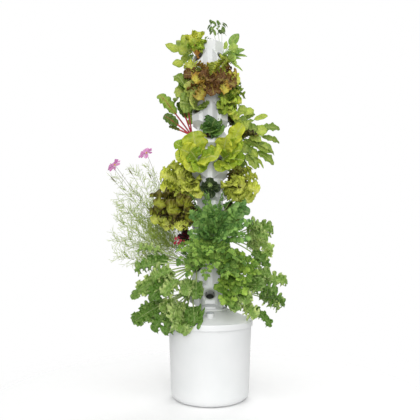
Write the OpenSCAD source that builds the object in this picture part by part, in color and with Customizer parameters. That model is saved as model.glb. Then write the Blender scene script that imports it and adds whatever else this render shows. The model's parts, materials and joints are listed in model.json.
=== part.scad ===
// Vertical hydroponic garden: stacked octagonal planting sections on a round lidded reservoir.
// Millimetres, +Z up, origin on the floor at the middle of the tub's bottom, front along -Y.

/* [Reservoir tub] */
// Outer radius of the tub wall just under its rim
tub_top_r = 211; // [200:1:230]
// Outer radius of the tub wall just above its rounded bottom edge
tub_bottom_r = 198; // [185:1:204]
// Height of the tub's rim above the floor
tub_h = 393; // [330:1:460]
// Thickness of the tub wall
tub_wall = 4; // [3:0.5:6]
// Thickness of the tub floor
tub_floor = 5; // [4:0.5:8]
// Radius of the rounded edge round the tub's bottom
tub_edge_r = 40; // [12:1:50]
// How far the tub's rim stands out from its wall
rim_out = 2.7; // [2:0.1:5]
// Height of the tub's rim
rim_h = 6; // [4:0.5:12]

/* [Lid] */
// Thickness of the flat seal between rim and lid
seal_t = 2; // [1:0.5:4]
// Thickness of the lid's plate and cone
lid_plate = 4; // [3:0.5:6]
// Thickness of the lid's skirt
lid_wall = 3; // [2:0.5:5]
// Height of the lid's skirt
skirt_h = 30; // [20:1:45]
// Clearance between the tub's rim and the lid's skirt
skirt_gap = 0.8; // [0.5:0.1:2]
// Radius of the lid's rounded shoulder
lid_edge_r = 9; // [3:1:12]
// How far inside the locating rib the lid's cone starts
cone_in = 3; // [2:0.5:20]
// Height that the cone rises to the column's seat
lid_rise = 49; // [30:1:70]
// Radius of the flat seat on top of the cone
seat_r = 92; // [88:1:100]
// Radius of the drain hole through the seat
drain_r = 72; // [70:1:78]
// Depth of the collar under the drain hole
collar_h = 20; // [12:1:30]
// Height of the locating rib inside the tub's rim
rib_h = 12; // [6:1:20]
// Clearance between the locating rib and the tub wall
rib_gap = 1; // [0.5:0.1:2]

/* [Fill port] */
// Distance of the fill port inward from the foot of the lid's cone
fill_in = 68; // [50:1:70]
// Radius of the fill port's bore
fill_bore_r = 16.5; // [12:0.5:18]
// Wall of the fill port's boss
fill_wall = 4; // [3:0.5:5]
// Height of the boss above the cone at its middle
fill_boss_h = 13; // [12:1:20]
// Length of the fill port's tube
fill_tube_h = 32; // [26:1:45]
// Thickness of the fill cap's disc
fill_cap_t = 4; // [3:0.5:8]
// Length of the fill cap's plug in the bore
fill_plug_h = 10; // [6:1:20]
// Clearance round the fill cap's plug
fill_gap = 0.4; // [0.3:0.1:1]

/* [Cord grommet] */
// Distance of the grommet inward from the foot of the lid's cone
grommet_in = 32; // [25:1:60]
// Turn of the grommet to the left of the middle of the back, clear of the leaves above
grommet_turn = 18; // [0:1:30]
// Bore of the grommet
grommet_bore_r = 4.2; // [3:0.1:5]
// Outer radius of the grommet's body
grommet_r = 7.7; // [6.5:0.1:9]
// Clearance between the grommet and its hole
grommet_gap = 0.3; // [0.2:0.1:0.6]
// How far the grommet's flange stands out from its body
grommet_flange = 3.5; // [2:0.5:5]

/* [Column] */
// Distance from the column's axis to its flats, outside
column_r = 66; // [64:0.5:70]
// Wall of the column and of the pouches
column_wall = 3; // [2:0.5:4]
// Height from one row of ports to the next
row_pitch = 134; // [132:1:150]
// Height of the spigot on top of each section
spigot_h = 14; // [8:1:20]
// Wall of the spigot
spigot_wall = 3; // [2:0.5:4]
// Clearance between a spigot and the section on it
spigot_gap = 0.5; // [0.3:0.1:1]
// Thickness of the ring that carries the spigot
spigot_ring_t = 6; // [4:1:10]
// Thickness of the column's base flange on the lid
base_t = 6; // [4:1:10]
// Radius of the column's base flange
base_r = 88; // [84:1:92]
// Clearance between the base's drain tube and the lid
base_gap = 0.5; // [0.3:0.1:1]
// Depth of the base's drain tube below the seat
base_tube_h = 26; // [22:1:40]

/* [Planting ports] */
// How far a port's face leans back from facing sideways, in degrees
port_tilt = 32; // [30:1:36]
// Distance from the column's axis to a port's lowest edge
lip_r = 104; // [102:0.5:110]
// Height of the first row's lowest edge above the section's foot
lip_h = 46; // [46:1:56]
// Width of a pouch at its sides
pouch_w = 76; // [74:1:80]
// Width of a pouch's front face
pouch_front_w = 48; // [40:1:56]
// Depth of the slanted corners of a pouch
pouch_corner = 14; // [10:1:18]
// Height of the upright front of the lower pouches
low_front_h = 14; // [8:1:24]
// Depth of the lower pouches under their lowest edge
low_drop = 43; // [38:1:45]
// Height of the upright front of the upper pouches
high_front_h = 32; // [16:1:40]
// Depth of the upper pouches under their lowest edge
high_drop = 67; // [50:1:67]
// Width of the raised collar round a port
port_collar_w = 3; // [2:0.5:4]
// Height of the raised collar round a port
port_collar_h = 2.5; // [1:0.5:4]

/* [Net pots] */
// Radius of a net pot under its flange
pot_top_r = 27.5; // [24:0.5:28]
// Radius of a net pot at its bottom
pot_bottom_r = 20; // [16:0.5:22]
// Depth of a net pot under its flange
pot_depth = 50; // [40:1:54]
// Wall of a net pot
pot_wall = 1.6; // [1.2:0.1:2.4]
// How far a net pot's flange stands out
pot_flange_w = 4.5; // [3:0.5:5]
// Thickness of a net pot's flange
pot_flange_t = 2; // [1.5:0.1:3]
// Clearance between a net pot and its port
pot_gap = 0.5; // [0.3:0.1:1]
// Width of the slots in a net pot
slot_w = 4; // [2:0.5:6]
// Length of the slots in a net pot
slot_h = 28; // [16:1:34]

/* [Grow plugs] */
// Radius of a grow plug at its top
plug_top_r = 22; // [18:0.5:23]
// Radius of a grow plug at its bottom
plug_bottom_r = 16.5; // [12:0.5:17]
// Height of a grow plug
plug_h = 42; // [30:1:46]

/* [Pump and riser] */
// Width of the pump's motor block
pump_w = 46; // [40:1:60]
// Length of the pump's motor block
pump_l = 52; // [44:1:70]
// Height of the pump's motor block
pump_h = 50; // [46:1:60]
// Height of the pump's suction feet
pump_foot_h = 8; // [5:1:12]
// Radius of the pump's round front
volute_r = 22; // [21:0.5:23]
// Length of the pump's round front
volute_l = 26; // [26:1:34]
// Radius of the impeller chamber
chamber_r = 18; // [17:0.5:19]
// Wall behind the impeller chamber
chamber_back = 3; // [2:0.5:4]
// Thickness of the intake cover
intake_t = 5; // [4:0.5:8]
// Radius of the impeller's blades
impeller_r = 15.5; // [12:0.5:16]
// Height of the impeller's blades
blade_h = 7; // [4:0.5:8]
// Number of the impeller's blades
blades = 5; // [4:1:7]
// Radius of the impeller's shaft
shaft_r = 1.6; // [1.2:0.1:2.2]
// Running clearance on the shaft
shaft_gap = 0.15; // [0.1:0.05:0.3]
// Radius of the pump's outlet tube
outlet_r = 9.6; // [8:0.1:9.6]
// Wall of the pump's outlet tube
outlet_wall = 2.6; // [2:0.1:3]
// Height of the outlet tube above its shoulder
outlet_h = 26; // [16:1:40]
// Outer radius of the riser pipe
riser_r = 12.5; // [11.5:0.1:13]
// Inner radius of the riser pipe
riser_bore_r = 10; // [10:0.1:10.4]
// Height of the coupler's middle above the floor
coupler_z = 960; // [600:10:1300]
// Length of the coupler
coupler_l = 54; // [30:2:80]
// Wall of the coupler and of the drip tray's socket
coupler_wall = 3; // [2:0.5:4]
// Clearance round the riser pipe in its sockets
riser_gap = 0.3; // [0.2:0.1:0.6]

/* [Drip tray and top cap] */
// Thickness of the drip tray's plate
tray_t = 3; // [2:0.5:5]
// Height of the drip tray's rim above its plate
tray_rim_h = 8; // [4:1:12]
// Depth of the drip tray's socket on the riser
tray_socket_h = 20; // [10:1:30]
// Radius of the ring of drip holes
drip_ring_r = 42; // [30:1:48]
// Radius of a drip hole
drip_hole_r = 2; // [1:0.1:3]
// Number of drip holes
drip_holes = 16; // [8:1:24]
// Height of the cap's upright wall
cap_wall_h = 30; // [28:1:40]
// Height of the cap's sloping roof
cap_roof_h = 20; // [10:1:40]
// Distance from the axis to the flats of the cap's flat top
cap_top_r = 28; // [15:1:45]

/* [Plants] */
// Thickness of a leaf
leaf_t = 3; // [2:0.5:4]
// Height of a stem's neck above its grow plug
neck_h = 12; // [10:1:20]
// Share by which leaf lengths vary within a plant
leaf_vary = 0.12; // [0:0.01:0.2]

/* [Hidden] */
$fn = 64;
sections = 5;
rows_per_section = 2;
ports_per_row = 4;
rows = sections * rows_per_section;
bare_row = 1;
bare_turn = 0;

rim_r = tub_top_r + rim_out;
seal_inset = 0.5;
tub_in_r = tub_top_r - tub_wall;
lid_under = tub_h + seal_t;
lid_top = lid_under + lid_plate;
skirt_in = rim_r + skirt_gap;
skirt_out = skirt_in + lid_wall;
rib_out = tub_in_r - rib_gap;
cone_foot_r = rib_out - lid_wall - cone_in;
seat_z = lid_top + lid_rise;
cone_slope = lid_rise / (cone_foot_r - seat_r);
base_tube_r = drain_r - base_gap;
foot_z = seat_z + base_t;

section_h = rows_per_section * row_pitch;
column_in = column_r - column_wall;
spigot_r = column_in - spigot_gap;
spigot_in = spigot_r - spigot_wall;
column_top = foot_z + sections * section_h;

port_bore_r = pot_top_r + pot_gap;
flange_r = pot_top_r + pot_flange_w;
collar_in_r = flange_r + pot_gap;
collar_out_r = collar_in_r + port_collar_w;
port_edge = 1;
port_up = collar_out_r - port_edge;
port_r = lip_r - port_up * sin(port_tilt);
pouch_root = 16;
pouch_back = column_r - pouch_root;

plug_floor = pot_depth - pot_wall;
plug_sink = plug_floor - plug_h;

fill_reach = cone_foot_r - fill_in;
fill_z = lid_top + fill_in * cone_slope;
fill_top = fill_z + fill_boss_h;
fill_boss_r = fill_bore_r + fill_wall;
grommet_hole_r = grommet_r + grommet_gap;
boss_rim = 1;
boss_up = 2;
grommet_boss_r = grommet_r + grommet_flange + boss_rim;
grommet_reach = cone_foot_r - grommet_in;
grommet_top = lid_top + (grommet_in + grommet_boss_r) * cone_slope + boss_up;

pump_z = tub_floor + pump_foot_h;
volute_z = pump_z + volute_r;
shoulder_up = 6;
shoulder_z = volute_z + volute_r + shoulder_up;
shaft_in = 8;
tray_z = column_top + spigot_h;
riser_end_gap = 2;
riser_top = tray_z - riser_end_gap;
coupler_stop = 4;

lower_leaves = [[1, 0], [1, 2], [1, 3], [1, 4], [1, 5]];
upper_leaves = [[2, 1], [2, 3], [2, 5]];
full_leaves = concat(lower_leaves, upper_leaves);
sparse_leaves = [[1, 0], [1, 2], [1, 4], [2, 1], [2, 3]];

// Leaves set one by one: ring and facet of the stem, turn from the front to the right, pitch above level,
// reach, width; a last 1 makes it a flower's stalk
left_kale_leaves = [
    [1, 0, -1, -17, 230, 50],
    [1, 3, -109, -30, 350, 90],
    [1, 4, -52, -41, 275, 120],
    [1, 5, -18, -28, 255, 65],
    [2, 2, -99, -12, 280, 90],
    [2, 3, -80, -20, 320, 90],
    [2, 5, -44, -16, 250, 100]
];
right_kale_leaves = [
    [1, 0, 113, -12, 300, 80],
    [1, 3, 15, -22, 215, 75],
    [1, 4, 44, -35, 225, 80],
    [1, 5, 76, -38, 285, 60],
    [2, 0, 92, 11, 275, 80],
    [2, 1, 112, 36, 265, 60],
    [2, 2, 48, 12, 225, 80],
    [2, 4, 58, -13, 235, 80],
    [2, 5, 80, -12, 275, 90]
];
front_kale_leaves = [
    [1, 2, -96, 18, 320, 70],
    [1, 3, -77, -20, 340, 90],
    [1, 4, -40, -36, 250, 90],
    [1, 5, 9, -45, 195, 70],
    [2, 0, -8, -18, 195, 80],
    [2, 3, -82, 0, 325, 90],
    [2, 4, -60, -33, 290, 90],
    [2, 5, -44, -14, 215, 100]
];
arugula_leaves = [
    [1, 0, 102, 36, 280, 40],
    [1, 1, 108, 58, 150, 40],
    [1, 2, 50, 12, 170, 45],
    [1, 3, 44, -34, 180, 50],
    [1, 4, 70, -57, 210, 40],
    [2, 0, 93, 18, 275, 45],
    [2, 1, 88, 44, 190, 40],
    [2, 2, 66, 34, 150, 40],
    [2, 3, 46, -10, 170, 50],
    [2, 4, 74, -30, 275, 50],
    [2, 5, 96, -14, 260, 45]
];
cosmos_leaves = [
    [1, 0, -78, 34, 290, 60],
    [1, 1, -92, 59, 420, 60],
    [1, 2, -95, 66, 645, 72, 1],
    [1, 3, -112, 28, 450, 60],
    [1, 4, -94, 17, 465, 60],
    [1, 5, -84, 5, 400, 60],
    [2, 2, -97, 50, 660, 72, 1],
    [2, 3, -116, 47, 420, 60],
    [2, 4, -99, 33, 545, 60]
];
face_aim = [0, -1, 0.1];
inward_tuck = 24;
inward_stand = 2;
inward_short = 0.56;
crown_short = 0.1;
side_short = 0.28;
short_slim = 0.7;
upper_short = 0.85;
upper_slim = 0.8;
stem_taper = 0.15;
leaf_root = 0.8;
stem_side_count = 6;
stem_ring_count = 4;

// Kinds of plant: name, stem radius, stem step, leaf length, leaf width, pitch of the lower leaves,
// pitch of the upper leaves, droop, share of the leaf that is stalk, share by which set leaves
// face the front
kinds = [
    ["lettuce", 8, 8, 112, 62, 14, 52, 0.28, 0.16, 0],
    ["kale", 8, 10, 225, 90, 20, 56, 0.3, 0.32, 0.4],
    ["chard", 7, 8, 190, 66, 42, 66, 0.1, 0.5, 0],
    ["arugula", 6, 8, 170, 34, 18, 55, 0.34, 0.34, 0.4],
    ["basil", 5, 12, 84, 42, 22, 58, 0.12, 0.2, 0],
    ["parsley", 7, 8, 135, 56, 14, 54, 0.34, 0.4, 0],
    ["tatsoi", 8, 6, 46, 26, 10, 40, 0.1, 0.3, 0],
    ["sprig", 5, 8, 235, 16, 56, 72, 0, 0.4, 0],
    ["cosmos", 7, 10, 330, 40, 48, 70, -0.25, 0.3, 0]
];

// Plants: node, kind, row, turn of the port (0 front, 90 right), size, lean of the growth to the right,
// lift of the growth, leaves, colour
plants = [
    ["curly_kales", "kale", 1, -90, 1, 28, 2, left_kale_leaves, "olivedrab"],
    ["curly_kales", "kale", 1, 90, 1, -20, 10, right_kale_leaves, "olivedrab"],
    ["front_kale", "kale", 2, -45, 1, -14, 8, front_kale_leaves, "darkolivegreen"],
    ["celery", "parsley", 2, 45, 1, -8, 30, full_leaves, "yellowgreen"],
    ["cosmos", "cosmos", 2, -135, 1, 38, 37, cosmos_leaves, "darkseagreen"],
    ["back_plants_1", "kale", 1, 180, 0.85, 0, 36, sparse_leaves, "olivedrab"],
    ["back_plants_1", "lettuce", 2, 135, 1, 0, 46, sparse_leaves, "yellowgreen"],
    ["parsley", "parsley", 3, 0, 1.4, 8, 58, full_leaves, "seagreen"],
    ["beet", "chard", 3, -90, 0.45, 18, 42, full_leaves, "maroon"],
    ["upper_kale", "kale", 3, 90, 0.95, -4, 44, full_leaves, "olivedrab"],
    ["bronze_oakleaf", "lettuce", 4, -45, 1.7, -26, 44, full_leaves, "saddlebrown"],
    ["sorrel", "lettuce", 4, 45, 1.2, 20, 46, full_leaves, "mediumseagreen"],
    ["back_plants_2", "lettuce", 3, 180, 1, 0, 46, sparse_leaves, "yellowgreen"],
    ["back_plants_2", "lettuce", 4, 135, 1, 0, 46, sparse_leaves, "saddlebrown"],
    ["back_plants_2", "lettuce", 4, -135, 0.7, 0, 42, sparse_leaves, "yellowgreen"],
    ["tatsoi", "tatsoi", 5, 0, 1, 0, 34, full_leaves, "darkgreen"],
    ["loose_lettuces", "lettuce", 5, -90, 1.5, 3, 50, full_leaves, "yellowgreen"],
    ["loose_lettuces", "lettuce", 5, 90, 1.5, -3, 50, full_leaves, "yellowgreen"],
    ["butter_lettuces", "lettuce", 6, -45, 1.4, 0, 62, full_leaves, "greenyellow"],
    ["butter_lettuces", "lettuce", 6, 45, 1.4, 0, 62, full_leaves, "greenyellow"],
    ["back_plants_3", "lettuce", 5, 180, 1, 0, 46, sparse_leaves, "yellowgreen"],
    ["back_plants_3", "kale", 6, 135, 0.7, 0, 40, sparse_leaves, "olivedrab"],
    ["back_plants_3", "lettuce", 6, -135, 1, 0, 46, sparse_leaves, "yellowgreen"],
    ["romaine", "lettuce", 7, 0, 0.75, 0, 60, full_leaves, "darkgreen"],
    ["chard", "chard", 7, -90, 0.9, 0, 57, full_leaves, "forestgreen"],
    ["arugula", "arugula", 7, 90, 1, -10, 14, arugula_leaves, "olivedrab"],
    ["spinach", "lettuce", 8, -45, 1.25, -8, 62, full_leaves, "darkgreen"],
    ["green_oakleaf", "lettuce", 8, 45, 1, 8, 58, full_leaves, "olivedrab"],
    ["back_plants_4", "lettuce", 7, 180, 1, 0, 46, sparse_leaves, "yellowgreen"],
    ["back_plants_4", "lettuce", 8, 135, 1, 0, 46, sparse_leaves, "saddlebrown"],
    ["back_plants_4", "basil", 8, -135, 1, 0, 46, sparse_leaves, "olivedrab"],
    ["maroon_oakleaf", "lettuce", 9, 0, 1.45, 0, 50, full_leaves, "maroon"],
    ["curly_lettuce", "lettuce", 10, -45, 1.15, -4, 64, full_leaves, "yellowgreen"],
    ["broad_basil", "basil", 10, -135, 1.6, 42, 56, full_leaves, "limegreen"],
    ["basil", "basil", 10, 45, 1.6, 10, 62, full_leaves, "limegreen"],
    ["herb_sprigs", "sprig", 10, 135, 1.1, 30, 82, full_leaves, "darkgreen"],
    ["back_plants_5", "lettuce", 9, 180, 1, 0, 46, sparse_leaves, "yellowgreen"],
    ["back_plants_5", "lettuce", 9, -90, 0.95, 0, 46, sparse_leaves, "yellowgreen"],
    ["back_plants_5", "lettuce", 9, 90, 0.95, 0, 46, sparse_leaves, "yellowgreen"]
];

plant_nodes = [for (i = [0:len(plants) - 1]) if (i == 0 || plants[i][0] != plants[i - 1][0]) plants[i][0]];

// Heights and places of the rows and ports
function section_z(i) = foot_z + (i - 1) * section_h;
function lip_z(row) = foot_z + lip_h + (row - 1) * row_pitch;
function port_z(row) = lip_z(row) + port_up * cos(port_tilt);
function row_turn(row) = row % 2 == 1 ? 0 : 180 / ports_per_row;
function port_turn(row, k) = row_turn(row) + k * 360 / ports_per_row;
function is_bare(row, k) = row == bare_row && port_turn(row, k) == bare_turn;
function section_rows(i) = [rows_per_section * (i - 1) + 1 : rows_per_section * i];

// Points of an arc in a profile
function arc(c, r, from, to, steps = 6) =
    [for (s = [0:steps])
        let (a = from + (to - from) * s / steps)
        c + r * [cos(a), sin(a)]];

module octagon(flat_r) {
    rotate(22.5)
        circle(r = flat_r / cos(22.5), $fn = 8);
}

module octagon_ring(outer, inner, h) {
    linear_extrude(h)
        difference() {
            octagon(outer);
            octagon(inner);
        }
}

// Places its children on a port: their Z axis points out of it and their Y axis up along its face
module at_port(row, turn) {
    rotate([0, 0, turn])
        translate([0, -port_r, port_z(row)])
            rotate([90 - port_tilt, 0, 0])
                children();
}

module reservoir_tub() {
    inner_edge = max(tub_edge_r - tub_wall, 1);
    outside = concat(
        [[0, 0]],
        arc([tub_bottom_r - tub_edge_r, tub_edge_r], tub_edge_r, -90, 0),
        [[tub_top_r, tub_h - rim_h], [rim_r, tub_h - rim_h], [rim_r, tub_h], [tub_in_r, tub_h]]
    );
    inside = concat(
        arc([tub_bottom_r - tub_wall - inner_edge, tub_floor + inner_edge], inner_edge, 0, -90),
        [[0, tub_floor]]
    );
    color("whitesmoke")
        rotate_extrude()
            polygon(concat(outside, inside));
}

module lid_seal() {
    color("dimgray")
        translate([0, 0, tub_h])
            rotate_extrude()
                translate([tub_in_r + seal_inset, 0])
                    square([rim_r - tub_in_r - 2 * seal_inset, seal_t]);
}

// The lid's shell: skirt, rounded shoulder, cone, seat and drain collar
module lid_shell() {
    top = concat(
        [[skirt_out, lid_top - skirt_h]],
        arc([skirt_out - lid_edge_r, lid_top - lid_edge_r], lid_edge_r, 0, 90),
        [[cone_foot_r, lid_top], [seat_r, seat_z], [drain_r, seat_z]]
    );
    under = [
        [drain_r, seat_z - collar_h],
        [drain_r + lid_plate, seat_z - collar_h],
        [drain_r + lid_plate, seat_z - lid_plate],
        [seat_r, seat_z - lid_plate],
        [cone_foot_r, lid_under],
        [rib_out - lid_wall, lid_under],
        [rib_out - lid_wall, lid_under - rib_h],
        [rib_out, lid_under - rib_h],
        [rib_out, lid_under],
        [skirt_in, lid_under],
        [skirt_in, lid_top - skirt_h]
    ];
    rotate_extrude()
        polygon(concat(top, under));
}

module reservoir_lid() {
    color("white")
        difference() {
            union() {
                lid_shell();
                translate([0, -fill_reach, fill_top - fill_tube_h])
                    cylinder(r = fill_boss_r, h = fill_tube_h);
                rotate(grommet_turn)
                    translate([0, grommet_reach, grommet_top - fill_tube_h])
                        cylinder(r = grommet_boss_r, h = fill_tube_h);
            }
            translate([0, -fill_reach, seat_z / 2])
                cylinder(r = fill_bore_r, h = seat_z);
            rotate(grommet_turn)
                translate([0, grommet_reach, seat_z / 2])
                    cylinder(r = grommet_hole_r, h = seat_z);
        }
}

module fill_cap() {
    grip = [fill_boss_r * 1.3, 5, 4];
    color("gainsboro")
        translate([0, -fill_reach, fill_top]) {
            cylinder(r = fill_boss_r, h = fill_cap_t / 2);
            translate([0, 0, fill_cap_t / 2])
                cylinder(r1 = fill_boss_r, r2 = fill_boss_r - fill_cap_t / 2, h = fill_cap_t / 2);
            translate([-grip.x / 2, -grip.y / 2, fill_cap_t])
                cube(grip);
            translate([0, 0, -fill_plug_h])
                cylinder(r = fill_bore_r - fill_gap, h = fill_plug_h);
        }
}

module cord_grommet() {
    flange_t = 2.5;
    color("dimgray")
        rotate(grommet_turn)
            translate([0, grommet_reach, grommet_top])
                difference() {
                    union() {
                        translate([0, 0, -fill_tube_h])
                            cylinder(r = grommet_r, h = fill_tube_h);
                        cylinder(r = grommet_r + grommet_flange, h = flange_t);
                    }
                    translate([0, 0, -fill_tube_h - 1])
                        cylinder(r = grommet_bore_r, h = fill_tube_h + flange_t + 2);
                }
}

// Ring between lid and column: flange on the seat, drain tube below, octagonal spigot above
module tower_base() {
    color("whitesmoke")
        difference() {
            union() {
                translate([0, 0, seat_z])
                    cylinder(r = base_r, h = base_t);
                translate([0, 0, seat_z - base_tube_h])
                    cylinder(r = base_tube_r, h = base_tube_h);
                translate([0, 0, foot_z])
                    linear_extrude(spigot_h)
                        octagon(spigot_r);
            }
            translate([0, 0, seat_z - base_tube_h - 1])
                linear_extrude(base_tube_h + base_t + spigot_h + 2)
                    octagon(spigot_in);
        }
}

// A pouch facing the front, its lowest edge at height 0: a side outline crossed with a plan outline.
// Inset by a wall it is the hollow of the pouch.
module pouch(front_h, drop, inset) {
    front = lip_r - inset;
    face = lip_r * cos(port_tilt) - inset;
    face_z = function (r) (face - r * cos(port_tilt)) / sin(port_tilt);
    run = lip_r - column_r;
    belly_up = inset * sqrt(run * run + (drop - front_h) * (drop - front_h)) / run;
    belly_z = function (r) belly_up - front_h - (front - r) * (drop - front_h) / run;
    half = pouch_w / 2 - inset;
    half_front = pouch_front_w / 2 - inset * 0.4;
    intersection() {
        translate([pouch_w, 0, 0])
            rotate([90, 0, -90])
                linear_extrude(2 * pouch_w)
                    polygon([
                        [front, face_z(front)],
                        [front, belly_z(front)],
                        [pouch_back, belly_z(column_r)],
                        [pouch_back, face_z(pouch_back)]
                    ]);
        translate([0, 0, -2 * drop])
            linear_extrude(2 * drop + 2 * row_pitch)
                polygon([
                    [-half_front, -front],
                    [half_front, -front],
                    [half, -front + pouch_corner],
                    [half, -pouch_back],
                    [-half, -pouch_back],
                    [-half, -front + pouch_corner]
                ]);
    }
}

// The pouches of one section, or their hollows when inset by the wall
module section_pouches(i, inset) {
    for (row = section_rows(i), k = [0:ports_per_row - 1])
        rotate([0, 0, port_turn(row, k)])
            translate([0, 0, lip_z(row)])
                if (row % 2 == 1)
                    pouch(low_front_h, low_drop, inset);
                else
                    pouch(high_front_h, high_drop, inset);
}

module tower_section(i) {
    z = section_z(i);
    body_h = section_h - spigot_ring_t;
    color("white")
        difference() {
            union() {
                translate([0, 0, z])
                    linear_extrude(section_h)
                        octagon(column_r);
                section_pouches(i, 0);
                for (row = section_rows(i), k = [0:ports_per_row - 1])
                    at_port(row, port_turn(row, k))
                        translate([0, 0, -column_wall])
                            cylinder(r = collar_out_r, h = column_wall + port_collar_h);
                translate([0, 0, z + section_h])
                    linear_extrude(spigot_h)
                        octagon(spigot_r);
            }
            translate([0, 0, z - 1])
                linear_extrude(body_h + 1)
                    octagon(column_in);
            translate([0, 0, z + body_h - 1])
                linear_extrude(spigot_ring_t + spigot_h + 2)
                    octagon(spigot_in);
            section_pouches(i, column_wall);
            for (row = section_rows(i), k = [0:ports_per_row - 1])
                at_port(row, port_turn(row, k)) {
                    cylinder(r = collar_in_r, h = pot_depth);
                    translate([0, 0, -pot_depth / 2])
                        cylinder(r = port_bore_r, h = pot_depth);
                }
        }
}

// Slotted pot hanging by its flange, top of the port's face at height 0
module net_pot() {
    slot_top = -pot_depth / 8;
    difference() {
        union() {
            cylinder(r = flange_r, h = pot_flange_t);
            translate([0, 0, -pot_depth])
                cylinder(r1 = pot_bottom_r, r2 = pot_top_r, h = pot_depth);
        }
        translate([0, 0, -plug_floor])
            cylinder(r1 = pot_bottom_r - pot_wall, r2 = pot_top_r - pot_wall, h = plug_floor + 0.01);
        cylinder(r = pot_top_r - pot_wall, h = pot_flange_t + 1);
        for (turn = [0:45:135])
            rotate([0, 0, turn])
                translate([-flange_r, -slot_w / 2, slot_top - slot_h])
                    cube([2 * flange_r, slot_w, slot_h]);
    }
}

module bare_net_pot() {
    color("dimgray")
        at_port(bare_row, bare_turn)
            net_pot();
}

module net_pots(i) {
    color("dimgray")
        for (row = section_rows(i), k = [0:ports_per_row - 1])
            if (!is_bare(row, k))
                at_port(row, port_turn(row, k))
                    net_pot();
}

module grow_plugs(i) {
    color("saddlebrown")
        for (row = section_rows(i), k = [0:ports_per_row - 1])
            if (!is_bare(row, k))
                at_port(row, port_turn(row, k))
                    translate([0, 0, -plug_floor])
                        cylinder(r1 = plug_bottom_r, r2 = plug_top_r, h = plug_h);
}

module riser(from, to) {
    color("lightgray")
        translate([0, 0, from])
            difference() {
                cylinder(r = riser_r, h = to - from);
                translate([0, 0, -1])
                    cylinder(r = riser_bore_r, h = to - from + 2);
            }
}

module riser_coupler() {
    color("silver")
        translate([0, 0, coupler_z])
            difference() {
                translate([0, 0, -coupler_l / 2])
                    cylinder(r = riser_r + riser_gap + coupler_wall, h = coupler_l);
                translate([0, 0, coupler_stop / 2])
                    cylinder(r = riser_r + riser_gap, h = coupler_l);
                translate([0, 0, -coupler_l - coupler_stop / 2])
                    cylinder(r = riser_r + riser_gap, h = coupler_l);
                translate([0, 0, -coupler_l])
                    cylinder(r = riser_bore_r, h = 2 * coupler_l);
            }
}

// Tray on the top spigot: the riser wells up through its middle and the water drips through its holes
module drip_tray() {
    socket_in = riser_r + riser_gap;
    color("gainsboro")
        difference() {
            union() {
                translate([0, 0, tray_z])
                    linear_extrude(tray_t)
                        octagon(spigot_r);
                translate([0, 0, tray_z])
                    octagon_ring(spigot_r, spigot_r - spigot_wall, tray_t + tray_rim_h);
                translate([0, 0, tray_z - tray_socket_h])
                    cylinder(r = socket_in + coupler_wall, h = tray_socket_h + 1);
            }
            translate([0, 0, tray_z - tray_socket_h - 1])
                cylinder(r = socket_in, h = tray_socket_h + 1);
            translate([0, 0, tray_z - 1])
                cylinder(r = riser_bore_r, h = tray_t + 2);
            for (k = [0:drip_holes - 1])
                rotate([0, 0, k * 360 / drip_holes])
                    translate([drip_ring_r, 0, tray_z - 1])
                        cylinder(r = drip_hole_r, h = tray_t + 2);
        }
}

module top_cap() {
    roof = 1 / cos(22.5);
    color("white")
        translate([0, 0, column_top])
            difference() {
                union() {
                    linear_extrude(cap_wall_h)
                        octagon(column_r);
                    translate([0, 0, cap_wall_h])
                        rotate([0, 0, 22.5])
                            cylinder(r1 = column_r * roof, r2 = cap_top_r * roof, h = cap_roof_h, $fn = 8);
                }
                translate([0, 0, -1])
                    linear_extrude(cap_wall_h - column_wall + 1)
                        octagon(column_in);
            }
}

module rounded_block(size, r) {
    linear_extrude(size.z)
        union() {
            translate([r, 0])
                square([size.x - 2 * r, size.y]);
            translate([0, r])
                square([size.x, size.y - 2 * r]);
            for (x = [r, size.x - r], y = [r, size.y - r])
                translate([x, y])
                    circle(r = r);
        }
}

// Cylinder along +Y
module lying(r, h) {
    rotate([-90, 0, 0])
        cylinder(r = r, h = h);
}

module pump_housing() {
    block_r = 7;
    half = volute_l / 2;
    chamber_l = volute_l - chamber_back;
    color("dimgray")
        difference() {
            union() {
                translate([-pump_w / 2, half, pump_z])
                    rounded_block([pump_w, pump_l, pump_h], block_r);
                translate([0, -half, volute_z])
                    lying(volute_r, volute_l + block_r);
                translate([0, 0, volute_z])
                    cylinder(r = riser_r, h = shoulder_z - volute_z);
                translate([0, 0, shoulder_z - 1])
                    cylinder(r = outlet_r, h = outlet_h + 1);
            }
            translate([0, -half - 1, volute_z])
                lying(chamber_r, chamber_l + 1);
            translate([0, -half, volute_z])
                lying(shaft_r + shaft_gap, volute_l + shaft_in);
            translate([0, 0, volute_z])
                cylinder(r = outlet_r - outlet_wall, h = pump_h + outlet_h);
        }
}

module pump_cover() {
    hub_r = shaft_r + 3;
    slot = [3, volute_r - 5 - hub_r];
    color("gray")
        translate([0, -volute_l / 2 - intake_t, volute_z])
            difference() {
                lying(volute_r, intake_t);
                translate([0, intake_t / 2, 0])
                    lying(shaft_r + shaft_gap, intake_t);
                for (turn = [0:45:315])
                    rotate([0, turn, 0])
                        translate([-slot.x / 2, -1, hub_r])
                            cube([slot.x, intake_t + 2, slot.y]);
            }
}

module impeller() {
    hub_r = 5;
    hub_out = 1;
    back_t = 2;
    blade_t = 1.8;
    back_y = volute_l / 2 - chamber_back - back_t - 1;
    color("white")
        translate([0, back_y, volute_z])
            difference() {
                union() {
                    lying(impeller_r, back_t);
                    translate([0, -blade_h - hub_out, 0])
                        lying(hub_r, blade_h + hub_out);
                    for (k = [0:blades - 1])
                        rotate([0, k * 360 / blades, 0])
                            translate([-blade_t / 2, -blade_h, hub_r / 2])
                                cube([blade_t, blade_h + back_t / 2, impeller_r - hub_r / 2 - blade_t]);
                }
                translate([0, -blade_h - hub_out - 1, 0])
                    lying(shaft_r + shaft_gap, blade_h + hub_out + back_t + 2);
            }
}

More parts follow.
